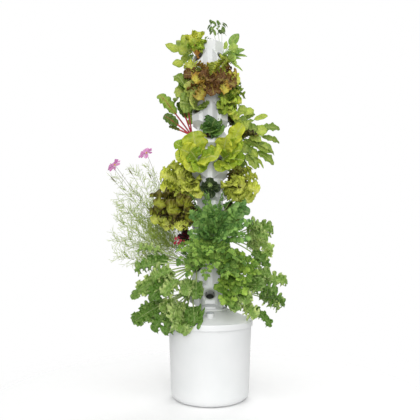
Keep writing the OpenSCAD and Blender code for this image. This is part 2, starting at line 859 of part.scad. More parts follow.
module impeller_shaft() {
    color("silver")
        translate([0, -volute_l / 2 - intake_t / 2, volute_z])
            lying(shaft_r, volute_l + intake_t / 2 + shaft_in);
}

module pump_feet() {
    foot_r = 8;
    stem_r = 4;
    first_y = volute_l / 2 + foot_r;
    color("black")
        for (x = [-1, 1], y = [0, 1])
            translate([x * (pump_w / 2 - foot_r), first_y + y * (pump_l - 2 * foot_r), tub_floor]) {
                cylinder(r1 = foot_r, r2 = stem_r, h = pump_foot_h / 2);
                cylinder(r = stem_r, h = pump_foot_h);
            }
}

// Directions: turn from the front to the right, pitch above level
function unit(v) = v / norm(v);
function aim(turn, pitch) = [sin(turn) * cos(pitch), -cos(turn) * cos(pitch), sin(pitch)];
function pick(name) = [for (k = kinds) if (k[0] == name) k][0];

// Steady variation from leaf to leaf, between -1 and 1
function wobble(seed, k) = sin(seed * 97 + k * 151);

// Foot of a plant: middle of its grow plug's top
function plant_foot(row, turn) =
    aim(turn, 0) * (port_r - plug_sink * cos(port_tilt)) + [0, 0, port_z(row) - plug_sink * sin(port_tilt)];

// A ring of the stem round the axis g, started from the sideways direction
function stem_ring(c, r, g, side) =
    let (x = unit(side - (side * g) * g), y = cross(g, x))
        [for (k = [0:stem_side_count - 1]) c + r * (cos(k * 60) * x + sin(k * 60) * y)];

// Stations along a leaf: share of its length, share of its width
function stations(stalk, flower) = flower
    ? [[0.3, 0.1], [0.9, 0.07], [0.91, 0.8], [1, 0.7]]
    : [[stalk, 0.18], [stalk + (1 - stalk) * 0.38, 0.8], [stalk + (1 - stalk) * 0.75, 1], [1, 0.4]];

// Rings of a leaf that leaves b along d and sags by its droop, as flat rectangles across the leaf
function leaf_rings(b, d, side, length, width, droop, shares) =
    [for (s = shares)
        let (
            p = b + length * s[0] * (d - [0, 0, droop * s[0]]),
            along = unit(d - [0, 0, 2 * droop * s[0]]),
            w = unit(side - (side * along) * along) * width * s[1] / 2,
            up = unit(cross(along, w)) * leaf_t / 2
        )
        each [p - w - up, p + w - up, p + w + up, p - w + up]];

// Triangles of a tube from one ring of four to the next
function tube_faces(a, b) =
    [for (i = [0:3]) let (j = (i + 1) % 4) each [[a[i], b[i], b[j]], [a[i], b[j], a[j]]]];

// One plant as one closed skin: a stem whose side facets are drawn out into leaves
module plant(p, seed) {
    kind = pick(p[1]);
    size = p[4];
    turn = p[3];
    normal = aim(turn, port_tilt);
    g = aim(turn + p[5], p[6]);
    side = aim(turn + 90, 0);
    foot = plant_foot(p[2], turn);
    neck = foot + neck_h * normal;
    rings = concat(
        stem_ring(foot, kind[1], normal, side),
        [for (j = [0:2]) each stem_ring(neck + j * kind[2] * g, kind[1] * (1 - stem_taper * j), g, side)]
    );
    leaves = p[7];
    x = unit(side - (side * g) * g);
    y = cross(g, x);
    shape = [for (n = [0:len(leaves) - 1])
        let (
            leaf = leaves[n],
            level = leaf[0],
            set_leaf = len(leaf) > 2,
            flower = len(leaf) > 6,
            a = leaf[1] * 60 + 30,
            inward = max(0, sin(a)),
            plain = level == 1 ? kind[5] : kind[6],
            tuck = max(inward_tuck, p[6] - inward_stand - plain),
            pitch = plain + tuck * inward,
            out = cos(a) * x + sin(a) * y,
            chord = set_leaf ? aim(leaf[2], leaf[3]) : cos(pitch) * out + sin(pitch) * g,
            d = set_leaf ? chord + [0, 0, kind[7]] : chord,
            across = set_leaf ? cross(g + kind[9] * face_aim, chord) : cross(g, out),
            trim = 1 - (level == 1 ? inward_short : crown_short) * inward - side_short * abs(cos(a)),
            short = level == 2 ? upper_short : 1,
            length = kind[3] * size * trim * short * (1 + leaf_vary * wobble(seed, n)),
            slim = (level == 2 ? upper_slim : 1) * (1 - short_slim * (1 - trim)),
            reach = set_leaf ? leaf[4] : length,
            width = set_leaf ? leaf[5] : kind[4] * size * slim,
            b = neck + (level - 0.5) * kind[2] * g + leaf_root * kind[1] * out
        )
        each leaf_rings(b, d, across, reach, width, kind[7], stations(kind[8], flower))];
    corner = function (ring, k) ring * stem_side_count + k % stem_side_count;
    taken = function (ring, k) len([for (l = leaves) if ([l[0], l[1]] == [ring, k]) 1]) > 0;
    base = function (l) [
        corner(l[0], l[1]), corner(l[0], l[1] + 1), corner(l[0] + 1, l[1] + 1), corner(l[0] + 1, l[1])
    ];
    start = stem_ring_count * stem_side_count;
    last = stem_ring_count - 1;
    ring_of = function (n, s) [for (q = [0:3]) start + 16 * n + 4 * s + q];
    faces = concat(
        [for (k = [1:stem_side_count - 2]) [corner(0, 0), corner(0, k), corner(0, k + 1)]],
        [for (k = [1:stem_side_count - 2]) [corner(last, 0), corner(last, k + 1), corner(last, k)]],
        [for (ring = [0:last - 1], k = [0:stem_side_count - 1])
            if (!taken(ring, k))
                let (q = base([ring, k]))
                each [[q[0], q[3], q[2]], [q[0], q[2], q[1]]]],
        [for (n = [0:len(leaves) - 1])
            let (tip = ring_of(n, 3))
            each concat(
                tube_faces(base(leaves[n]), ring_of(n, 0)),
                [for (s = [0:2]) each tube_faces(ring_of(n, s), ring_of(n, s + 1))],
                [[tip[3], tip[2], tip[1]], [tip[3], tip[1], tip[0]]]
            )]
    );
    color(p[8])
        polyhedron(points = concat(rings, shape), faces = faces);
}

reservoir_tub();
reservoir_lid();
lid_seal();
fill_cap();
cord_grommet();
tower_base();
for (i = [1:sections])
    tower_section(i);
top_cap();
drip_tray();
riser(shoulder_z, coupler_z - coupler_stop / 2);  // riser_lower
riser(coupler_z + coupler_stop / 2, riser_top);  // riser_upper
riser_coupler();
pump_housing();
pump_cover();
impeller();
impeller_shaft();
pump_feet();
bare_net_pot();
for (i = [1:sections])
    net_pots(i);
for (i = [1:sections])
    grow_plugs(i);
for (i = [0:len(plants) - 1])
    plant(plants[i], i);
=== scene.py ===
import json
import math

import bpy
import numpy as np
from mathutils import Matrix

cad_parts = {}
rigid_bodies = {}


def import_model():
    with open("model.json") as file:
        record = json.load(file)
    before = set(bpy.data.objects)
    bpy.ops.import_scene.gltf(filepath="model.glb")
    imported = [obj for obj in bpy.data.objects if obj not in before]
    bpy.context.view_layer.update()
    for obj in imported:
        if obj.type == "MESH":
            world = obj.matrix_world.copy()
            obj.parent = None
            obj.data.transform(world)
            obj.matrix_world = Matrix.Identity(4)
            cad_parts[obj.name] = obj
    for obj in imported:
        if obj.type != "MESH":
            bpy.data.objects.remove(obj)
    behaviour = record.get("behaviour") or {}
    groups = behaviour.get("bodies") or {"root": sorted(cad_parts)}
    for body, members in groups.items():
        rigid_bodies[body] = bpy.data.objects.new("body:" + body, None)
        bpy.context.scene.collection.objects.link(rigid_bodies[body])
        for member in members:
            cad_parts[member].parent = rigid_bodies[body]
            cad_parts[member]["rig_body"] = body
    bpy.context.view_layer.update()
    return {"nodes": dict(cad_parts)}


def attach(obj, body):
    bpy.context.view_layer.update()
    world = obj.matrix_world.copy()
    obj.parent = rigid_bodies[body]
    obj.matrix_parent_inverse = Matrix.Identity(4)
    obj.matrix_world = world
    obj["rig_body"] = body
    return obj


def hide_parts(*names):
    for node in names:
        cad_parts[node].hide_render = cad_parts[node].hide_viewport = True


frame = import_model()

print("frame loaded:", len(frame["nodes"]), "nodes")

# the column's ports and pouches, as in the solids: metres and degrees
tower = dict(portTilt=32, portRadius=0.0857, portUp=0.0293, firstLip=0.5, rowPitch=0.134, rows=10, perRow=4,
             portStep=90, rowTurn=45, plugSink=0.0064, neck=0.012, columnClear=0.0765, pouchReach=0.108,
             pouchHalfTurn=24, pouchSpan=(-0.068, 0.055), faceHeight=0.06, faceSlope=0.62, bellyTop=-0.02,
             bellyDrop=0.05, bellySlope=0.85)
lid = dict(skirt=0.2175, top=0.399, coneFoot=0.2, seat=0.092, seatHeight=0.448, clear=0.006, edge=0.004)
# the photo's camera: its distance in front and its height, its slight look up, the slope of that look,
# its focal length and picture in pixels, and the pixels across and down to the picture's middle
photo = dict(distance=2.836, height=0.825, lookUp=2.62, rise=0.0458, focal=549.0, pixels=420.0, across=210.1,
             down=210)
upright = np.array([0, 0, 1.0])
fullTurn = 2 * math.pi
perMetre = 1000


def unit(v):
    # a vector over its own length
    return v / np.maximum(np.linalg.norm(v, axis=-1, keepdims=True), 1e-9)


def aim(turn, pitch):
    # direction at a turn from the front towards the right and a pitch above level, in degrees
    t, p = math.radians(turn), math.radians(pitch)
    return np.array([math.sin(t) * math.cos(p), -math.cos(t) * math.cos(p), math.sin(p)])


def lipHeight(row):
    # height of a row's port lips: the first one plus a pitch for each row above it
    return tower["firstLip"] + (row - 1) * tower["rowPitch"]


def srgb(*levels):
    # colour as seen on a screen, 0 to 255, turned into the linear values that a shader takes
    c = np.array(levels, float) / 255
    lin = np.where(c <= 0.04045, c / 12.92, ((c + 0.055) / 1.055) ** 2.4)
    return (*lin.tolist(), 1.0)


def intoScene(thing):
    # links an object to the scene
    bpy.context.scene.collection.objects.link(thing)


# Meshes

class Skin:
    # gathers vertices, quads, surface coordinates, tones and material numbers of one piece
    def __init__(self):
        self.points, self.quads, self.uvs, self.tones, self.mats = [], [], [], [], []
        self.count = 0

    def add(self, points, quads, uvs, tones, mat):
        # takes in one set of surfaces, whose quads count from its own first point
        points, quads = points.reshape(-1, 3), quads.reshape(-1, 4)
        self.points.append(points)
        self.quads.append(quads + self.count)
        self.uvs.append(uvs.reshape(-1, 2))
        self.tones.append(tones.reshape(-1))
        self.mats.append(np.full(len(quads), mat, np.int32))
        self.count += len(points)

    def join(self, other, firstMat):
        # takes in another skin, whose material numbers start after those already there
        self.points += other.points
        self.quads += [quads + self.count for quads in other.quads]
        self.uvs += other.uvs
        self.tones += other.tones
        self.mats += [mats + firstMat for mats in other.mats]
        self.count += other.count

    def build(self, name, materials):
        # one smooth mesh object of all that was gathered
        points = np.concatenate(self.points)
        quads = np.concatenate(self.quads)
        uvs = np.concatenate(self.uvs)[quads.ravel()]
        mesh = bpy.data.meshes.new(name)
        mesh.vertices.add(len(points))
        mesh.vertices.foreach_set("co", points.astype(np.float32).ravel())
        mesh.loops.add(quads.size)
        mesh.loops.foreach_set("vertex_index", quads.astype(np.int32).ravel())
        mesh.polygons.add(len(quads))
        mesh.polygons.foreach_set("loop_start", np.arange(0, quads.size, 4, dtype=np.int32))
        mesh.polygons.foreach_set("material_index", np.concatenate(self.mats))
        mesh.polygons.foreach_set("use_smooth", np.ones(len(quads), bool))
        mesh.uv_layers.new(name="leafUv").data.foreach_set("uv", uvs.astype(np.float32).ravel())
        tone = mesh.attributes.new("tone", "FLOAT", "POINT")
        tone.data.foreach_set("value", np.concatenate(self.tones).astype(np.float32))
        mesh.update(calc_edges=True)
        for material in materials:
            mesh.materials.append(material)
        piece = bpy.data.objects.new(name, mesh)
        intoScene(piece)
        return piece


def shellQuads(count, nu, nv):
    # quads of closed leaves: an upper grid, a lower one wound the other way, and a rim between their edges
    idx = np.arange(nu * nv).reshape(nu, nv)
    cells = np.stack([idx[:-1, :-1], idx[1:, :-1], idx[1:, 1:], idx[:-1, 1:]], -1).reshape(-1, 4)
    loop = np.concatenate([idx[:-1, 0], idx[-1, :-1], idx[:0:-1, -1], idx[0, :0:-1]])
    low = loop + nu * nv
    rim = np.stack([loop, low, np.roll(low, -1), np.roll(loop, -1)], -1)
    one = np.concatenate([cells, cells[:, ::-1] + nu * nv, rim])
    return one[None] + (np.arange(count) * 2 * nu * nv)[:, None, None]


def tubeQuads(count, rings, sides):
    # quads of closed tubes, whose first and last rings are drawn to a point
    k = np.arange(rings * sides).reshape(rings, sides)
    nxt = np.roll(k, -1, axis=1)
    one = np.stack([k[:-1], nxt[:-1], nxt[1:], k[1:]], -1).reshape(-1, 4)
    return one[None] + (np.arange(count) * rings * sides)[:, None, None]


def capped(a):
    # repeats the first and the last row of each path
    return np.concatenate([a[:, :1], a, a[:, -1:]], 1)


tubeRule = dict(steep=0.9, endRadius=2e-5)


def addTubes(skin, path, radius, tone, mat, sides=6):
    # round stalks: circles of the given radius, set square to each path at its points, with pointed ends
    t = unit(np.gradient(path, axis=1))
    ref = np.where(np.abs(t[..., 2:]) > tubeRule["steep"], np.array([1.0, 0, 0]), upright)
    x = unit(np.cross(ref, t))
    y = np.cross(t, x)
    path, x, y = (capped(part)[:, :, None] for part in (path, x, y))
    end = np.full_like(radius[:, :1], tubeRule["endRadius"])
    r = np.concatenate([end, radius, end], 1)[..., None, None]
    a = np.linspace(0, fullTurn, sides, endpoint=False)[None, None, :, None]
    points = path + r * (np.cos(a) * x + np.sin(a) * y)
    m, n = points.shape[:2]
    uv = np.full((m, n, sides, 2), 0.5)
    uv[..., 0] = np.linspace(0, 1, n)[None, :, None]
    tones = np.broadcast_to(tone[:, None, None], (m, n, sides))
    skin.add(points, tubeQuads(m, n, sides), uv, tones, mat)


# Leaves: each set is a dictionary of arrays with one row for each leaf

def spine(leaves, s):
    # a leaf's midline: its root plus length times s along its direction, less a sag by s squared;
    # gives the points with their forward, sideways and upward directions, turned by the twist
    s = np.broadcast_to(s, (len(leaves["length"]), len(s)))[..., None]
    down = upright * leaves["droop"][:, None, None]
    d = leaves["dir"][:, None]
    p = leaves["root"][:, None] + leaves["length"][:, None, None] * s * (d - down * s)
    along = unit(d - 2 * down * s)
    side = leaves["side"][:, None]
    w = unit(side - np.sum(side * along, -1, keepdims=True) * along)
    up = np.cross(along, w)
    c = np.cos(leaves["twist"])[:, None, None]
    k = np.sin(leaves["twist"])[:, None, None]
    return p, along, c * w + k * up, c * up - k * w


# how every blade is drawn: its open ends, its least half width, and how its waves run and differ by side
bladeRule = dict(rootOpen=0.02, tipOpen=1.004, least=0.0006, lobeShift=0.12, ruffleShift=0.23,
                 frillWaves=2.2, frillShift=-0.31, swayShift=0.2, swayShare=0.6, puffAcross=5, puffAlong=14,
                 puffShift=6, curlFrom=0.55)


def addBlades(skin, leaves, look, rng, mat, keepOut):
    # leaf blades: across the midline by v times the half width, raised towards the margin by cupping,
    # ruffles and frills, whose waves run along the leaf
    rule = bladeRule
    nu, nv = look["grid"]
    m = len(leaves["length"])
    b = np.linspace(0, 1, nu)
    p, along, w, up = spine(leaves, look["stalk"] + (1 - look["stalk"]) * b)
    rise, fall = look["profile"]
    shape = (b + rule["rootOpen"]) ** rise * (rule["tipOpen"] - b) ** fall
    shape = shape / shape.max()
    lobePhase = rng.uniform(-rule["lobeShift"], rule["lobeShift"], (m, 1))
    lobes = 1 - look["lobe"] * (0.5 + 0.5 * np.cos(fullTurn * (look["lobes"] * b[None] + lobePhase)))
    half = leaves["width"][:, None] / 2 * (shape[None] * lobes)
    half = np.maximum(half, rule["least"])[:, :, None]
    v = np.linspace(-1, 1, nv)[None, None]
    sign = np.sign(v)
    margin = v ** 2
    phase = rng.uniform(0, 1, (2, m, 1, 1))
    bb = b[None, :, None]
    coarse = look["waves"] * bb + phase[0]
    fine = rule["frillWaves"] * look["waves"] * bb + phase[1]
    ruffle = look["ruffle"] * np.sin(fullTurn * (coarse + rule["ruffleShift"] * sign))
    frill = look["frill"] * np.sin(fullTurn * (fine + rule["frillShift"] * sign))
    sway = look["frill"] * np.cos(fullTurn * (fine + rule["swayShift"] * sign))
    ripple = math.pi * rule["puffAcross"] * np.abs(v) + rule["puffAlong"] * bb + rule["puffShift"] * phase[0]
    puff = look["puff"] * (1 - margin) * np.sin(ripple)
    lift = half * (look["cup"] * margin + margin * (ruffle + frill) + puff)
    tipCurl = look["curl"] * leaves["length"][:, None, None] * np.maximum(bb - rule["curlFrom"], 0) ** 2
    top = (p[:, :, None] + w[:, :, None] * (v * half)[..., None]
           + up[:, :, None] * (lift - tipCurl)[..., None]
           + along[:, :, None] * (rule["swayShare"] * margin * half * sway)[..., None])
    top = keepOut(top)
    points = np.stack([top, top - up[:, :, None] * look["thick"]], 1)
    uv = np.zeros((m, 2, nu, nv, 2))
    uv[..., 0] = b[None, None, :, None]
    uv[..., 1] = (0.5 + 0.5 * v)[:, None]
    tones = np.broadcast_to(leaves["tone"][:, None, None, None], (m, 2, nu, nv))
    skin.add(points, shellQuads(m, nu, nv), uv, tones, mat)


stalkRule = dict(rings=14, thinning=0.75, sink=0.7)


def addStalks(skin, leaves, look, mat, keepOut):
    # leaf stalks: from the root along the midline and on under the blade, where they thin out as the midrib
    s = np.linspace(0, look["rib"], stalkRule["rings"])
    p, *_, up = spine(leaves, s)
    thin = 1 - stalkRule["thinning"] * np.clip((s - look["stalk"]) / (look["rib"] - look["stalk"]), 0, 1)
    radius = look["stalkRadius"] * thin[None] * np.ones((len(p), 1))
    sink = np.where(s > look["stalk"], radius * stalkRule["sink"] + look["thick"], 0)
    path = keepOut((p - up * sink[..., None])[:, :, None])[:, :, 0]
    addTubes(skin, path, radius, leaves["tone"], mat)


neckRule = dict(rings=6, sides=10, rise=1.6, radii=(0.8, 0.7))


def addNeck(skin, plant, look):
    # short stem that bends from the grow plug by way of the neck to the leaves' roots
    grown = growthFrame(plant)
    t = np.linspace(0, 1, neckRule["rings"])[:, None]
    top = grown["neck"] + neckRule["rise"] * look["step"] * grown["axis"]
    path = (grown["foot"] * (1 - t) ** 2 + 2 * grown["neck"] * t * (1 - t) + top * t ** 2)[None]
    radius = np.linspace(*neckRule["radii"], neckRule["rings"])[None] * look["stem"]
    addTubes(skin, path, radius, np.zeros(1), 1, neckRule["sides"])


def growthFrame(plant):
    # foot of a plant on its grow plug, its neck above, its growth axis and two directions square to the axis
    row, turn = plant["port"]
    lean, lift = plant["growth"]
    tilt, sunk = math.radians(tower["portTilt"]), tower["plugSink"]
    foot = aim(turn, 0) * (tower["portRadius"] - sunk * math.cos(tilt))
    foot = foot + np.array([0, 0, lipHeight(row) + tower["portUp"] - sunk * math.sin(tilt)])
    axis = aim(turn + lean, lift)
    side = aim(turn + 90, 0)
    x = unit(side - side.dot(axis) * axis)
    return dict(foot=foot, neck=foot + tower["neck"] * aim(turn, tower["portTilt"]), axis=axis, x=x,
                y=np.cross(axis, x))


# how the leaves of a rosette are set, as in the solids: degrees, and shares of a leaf's length and width;
# the solid's own leaves by level and sixth of a turn
leafRule = dict(sixth=60, firstSixth=30, inwardTuck=24, inwardStand=2, inwardShort=0.56, crownShort=0.1,
                sideShort=0.28, upperShort=0.85, shortSlim=0.7, vary=0.12, root=0.8, goldenTurn=137.5,
                firstTurn=75, turnVary=9, pitchVary=5, steepest=88, twist=0.35, youngStand=8, youngSlim=0.3,
                youngTone=0.5, youngEven=0.4)
rosette = [(1, 0), (1, 2), (1, 3), (1, 4), (1, 5), (2, 1), (2, 3), (2, 5)]


def rosetteLeaves(plant, look, rng):
    # the solid's leaves first, then filling leaves on the golden angle, shorter and steeper to the middle
    rule, grown = leafRule, growthFrame(plant)
    axis, n = grown["axis"], look["fill"]
    share = (np.arange(n) + 0.5) / n
    angle = np.concatenate([[rule["sixth"] * k + rule["firstSixth"] for level, k in rosette],
                            rule["goldenTurn"] * np.arange(n) + rule["firstTurn"]])
    level = np.concatenate([[level - 1 for level, k in rosette], share])
    young = np.concatenate([np.zeros(len(rosette)), share])
    count = len(angle)
    angle = np.radians(angle + rng.uniform(-rule["turnVary"], rule["turnVary"], count))
    inward = np.maximum(0, np.sin(angle))
    plain = look["lower"] + (look["upper"] - look["lower"]) * level
    tuck = np.maximum(rule["inwardTuck"], plant["growth"][1] - rule["inwardStand"] - plain)
    vary = rng.uniform(-rule["pitchVary"], rule["pitchVary"], count)
    stand = plain + tuck * inward + rule["youngStand"] * young + vary
    pitch = np.radians(np.minimum(stand, rule["steepest"]))
    out = np.cos(angle)[:, None] * grown["x"] + np.sin(angle)[:, None] * grown["y"]
    d = np.cos(pitch)[:, None] * out + np.sin(pitch)[:, None] * axis
    tucked = (rule["inwardShort"] + (rule["crownShort"] - rule["inwardShort"]) * level) * inward
    trim = 1 - tucked - rule["sideShort"] * np.abs(np.cos(angle))
    length = look["length"] * plant["size"] * trim * (1 - (1 - rule["upperShort"]) * level)
    length = length * (1 - look["fillShort"] * young) * (1 + rule["vary"] * rng.uniform(-1, 1, count))
    width = look["width"] * plant["size"] * (1 - rule["shortSlim"] * (1 - trim))
    width = width * (1 - rule["youngSlim"] * young)
    root = grown["neck"] + ((level + 0.5) * look["step"])[:, None] * axis + rule["root"] * look["stem"] * out
    return dict(root=root, dir=d, side=np.cross(axis, out), length=length, width=width * look["wide"],
                droop=np.full(count, look["droop"]), twist=rng.uniform(-rule["twist"], rule["twist"], count),
                tone=rng.uniform(-1, 1, count) * (1 - rule["youngEven"] * young) + rule["youngTone"] * young)


# how leaves with given tips are set: shares for the filling leaves, then how the leaves face, sag and twist
tipRule = dict(mix=(0.25, 0.75), reach=(0.55, 0.95), scatter=0.008, youngSlim=0.85, youngTone=0.3, root=0.7,
               outward=0.3, turned=(0.35, 0.85), light=np.array([0, -1.0, 0.1]), droop=(0.7, 1.2), twist=0.4)


def pickedPlaces(picks):
    # real places, to the millimetre, of leaf ends given on the photo: along a pick's line of sight, across
    # and up by its pixels over the focal length, as far as its depth; a blade's width goes with it
    picks = np.array(picks, float)
    depth = picks[:, 2] / perMetre
    away = photo["distance"] + depth
    x = (picks[:, 0] - photo["across"]) * away / photo["focal"]
    z = photo["height"] + photo["rise"] * away + (photo["down"] - picks[:, 1]) / photo["focal"] * away
    return np.column_stack([np.round(x, 3), depth, np.round(z, 3), picks[:, 3:] / perMetre])


def leavesTo(plant, picks, look, rng):
    # leaves that end at given tips, and filling leaves that end part of the way between two tips;
    # each leaf's upper face looks part of the way from straight up to the light at the front
    rule, grown = tipRule, growthFrame(plant)
    neck = grown["neck"]
    tips = pickedPlaces(picks)
    n = look["fill"]
    a, b = rng.integers(0, len(tips), (2, n))
    mix = rng.uniform(*rule["mix"], (n, 1))
    between = tips[a] * mix + tips[b] * (1 - mix)
    reach = rng.uniform(*rule["reach"], (n, 1))
    between[:, :3] = neck + (between[:, :3] - neck) * reach + rng.normal(0, rule["scatter"], (n, 3))
    between[:, 3:] *= rule["youngSlim"]
    young = np.concatenate([np.zeros(len(tips)), np.ones(n)])
    tips = np.concatenate([tips, between])
    count = len(tips)
    start = neck + rng.uniform(0, 1, (count, 1)) * look["step"] * grown["axis"]
    root = start + rule["root"] * look["stem"] * unit(tips[:, :3] - start)
    chord = tips[:, :3] - root
    length = np.linalg.norm(chord, axis=1)
    flat = chord * np.array([1.0, 1, 0])
    h = unit(flat + rule["outward"] * length[:, None] * aim(plant["port"][1], 0))
    e = np.arctan2(chord[:, 2], np.linalg.norm(flat, axis=1))[:, None]
    hint = -np.sin(e) * h + np.cos(e) * upright
    turned = rng.uniform(*look.get("turned", rule["turned"]), (count, 1))
    hint = hint * (1 - turned) + rule["light"] * turned
    droop = look["droop"] * rng.uniform(*rule["droop"], count)
    d = chord / length[:, None] + droop[:, None] * upright
    leaves = dict(root=root, dir=d, side=np.cross(hint, d), length=length, droop=droop,
                  twist=rng.uniform(-rule["twist"], rule["twist"], count),
                  tone=rng.uniform(-1, 1, count) - rule["youngTone"] * young)
    if tips.shape[1] > 3:
        leaves["width"] = tips[:, 3] * look["wide"]
    return leaves


def keepOutOf(row, turn):
    # moves points out to the column's clearance, to the reach of every pouch but the plant's own (a pouch's
    # face leans in above the lip, its belly draws in below) and past the lid's skirt, and lifts points over
    # the lid onto its cone
    rule = tower
    drop, run = lid["seatHeight"] - lid["top"], lid["coneFoot"] - lid["seat"]

    def move(p):
        x, y, z = p[..., 0], p[..., 1], p[..., 2]
        rho = np.maximum(np.hypot(x, y), 1e-6)
        need = np.full(rho.shape, rule["columnClear"])
        heading = np.degrees(np.arctan2(x, -y))
        for r in range(1, rule["rows"] + 1):
            up = z - lipHeight(r)
            face = rule["pouchReach"] - np.clip(up, 0, rule["faceHeight"]) * rule["faceSlope"]
            below = np.clip(up - rule["bellyTop"], -rule["bellyDrop"], 0)
            reach = np.where(up > 0, face, rule["pouchReach"] + below * rule["bellySlope"])
            near = (up > rule["pouchSpan"][0]) & (up < rule["pouchSpan"][1])
            for k in range(rule["perRow"]):
                at = rule["portStep"] * k + (0 if r % 2 else rule["rowTurn"])
                if r == row and (at - turn) % 360 == 0:
                    continue
                off = np.abs((heading - at + 180) % 360 - 180)
                need = np.where(near & (off < rule["pouchHalfTurn"]), np.maximum(need, reach), need)
        cone = lid["seatHeight"] - (rho - lid["seat"]) * drop / run
        floor = np.clip(cone, lid["top"], lid["seatHeight"]) + lid["clear"]
        beside = (z < lid["top"] - lid["edge"]) & (rho < lid["skirt"] + lid["clear"])
        onLid = ~beside & (rho < lid["skirt"] + lid["edge"])
        need = np.where(beside, lid["skirt"] + lid["clear"], need)
        grow = np.maximum(rho, need) / rho
        return np.stack([x * grow, y * grow, np.where(onLid, np.maximum(z, floor), z)], -1)
    return move


# Materials

def newMaterial(name):
    # a fresh node material: itself, its node tree and its main shader
    material = bpy.data.materials.new(name)
    material.use_nodes = True
    return material, material.node_tree, material.node_tree.nodes["Principled BSDF"]


def node(tree, kind, **settings):
    # one new node with its settings
    made = tree.nodes.new(kind)
    for key, value in settings.items():
        setattr(made, key, value)
    return made


def plug(tree, value, socket):
    # feeds a socket from another socket, or with a plain number or colour
    if isinstance(value, (int, float, tuple)):
        socket.default_value = value
    else:
        tree.links.new(value, socket)


def maths(tree, operation, *values):
    # one arithmetic node on sockets or plain numbers
    made = node(tree, "ShaderNodeMath", operation=operation)
    for value, socket in zip(values, made.inputs):
        plug(tree, value, socket)
    return made.outputs[0]


def vectors(tree, operation, *values):
    # one vector node on sockets or plain vectors; a length comes out as a number
    made = node(tree, "ShaderNodeVectorMath", operation=operation)
    for value, socket in zip(values, made.inputs):
        plug(tree, value, socket)
    return made.outputs["Value" if operation == "LENGTH" else "Vector"]


def spread(tree, value, low, high, start=0.0, end=1.0):
    # carries the range low to high over to start to end, held at both ends
    made = node(tree, "ShaderNodeMapRange")
    for number, socket in zip((value, low, high, start, end), made.inputs):
        plug(tree, number, socket)
    return made.outputs[0]


def mixed(tree, share, a, b):
    # blends two colours, sockets or plain ones, by a share: the node's colours go in at 6 and 7 and out at 2
    made = node(tree, "ShaderNodeMix", data_type="RGBA")
    for value, slot in zip((share, a, b), (0, 6, 7)):
        plug(tree, value, made.inputs[slot])
    return made.outputs[2]


def mixedSurface(tree, share, first, second):
    # blends two shaders by a share, a socket or a plain number, into the material's surface
    made = node(tree, "ShaderNodeMixShader")
    for value, socket in zip((share, first.outputs[0], second.outputs[0]), made.inputs):
        plug(tree, value, socket)
    tree.links.new(made.outputs[0], tree.nodes["Material Output"].inputs["Surface"])


def ownPlace(tree):
    # a point's place in the piece's own frame
    return node(tree, "ShaderNodeTexCoord").outputs["Object"]


def ownTone(tree):
    # the tone that a leaf or stalk was given
    return node(tree, "ShaderNodeAttribute", attribute_name="tone").outputs["Fac"]


def noise(tree, scale, detail=3.0):
    # noise over the piece's own frame
    made = node(tree, "ShaderNodeTexNoise")
    made.inputs["Scale"].default_value = scale
    made.inputs["Detail"].default_value = detail
    tree.links.new(ownPlace(tree), made.inputs["Vector"])
    return made.outputs[0]


def bumped(tree, shader, height, strength, distance):
    # tilts a shader's normal by the slope of a height
    made = node(tree, "ShaderNodeBump")
    made.inputs["Strength"].default_value = strength
    made.inputs["Distance"].default_value = distance
    tree.links.new(height, made.inputs["Height"])
    tree.links.new(made.outputs[0], shader.inputs["Normal"])


def glossed(tree, value, look):
    # roughness that goes with a value, from a bit smoother to a bit rougher than the finish's own
    rough = look["rough"]
    return spread(tree, value, *look["glossSpan"], rough - look["smoother"], rough + look["rougher"])


def coloured(tree, shader, colour, rough):
    # a shader's colour and roughness from sockets
    tree.links.new(colour, shader.inputs["Base Color"])
    tree.links.new(rough, shader.inputs["Roughness"])


# ranges are given as low, high and, where it isn't 0 to 1, what they are carried over to
leafSkin = dict(veins=7, veinShare=0.5, veinSlant=0.275, sideVein=(0.02, 0.1, 1, 0), midrib=(0.03, 0.1, 1, 0),
                sideFade=(0.4, 0.95, 0.7, 0), blotchScale=55.0, fineScale=260.0, fineDetail=2.0, patchy=0.9,
                edge=(0.3, 1.0), toneDepth=0.3, blotchDepth=0.9, depth=(0.22, 0.7, 1, 0), rough=0.45,
                glossSpan=(0.3, 0.7), smoother=0.08, rougher=0.1, fineBump=0.4, veinBump=0.5, bump=0.8,
                crinkle=0.003, through=0.36)


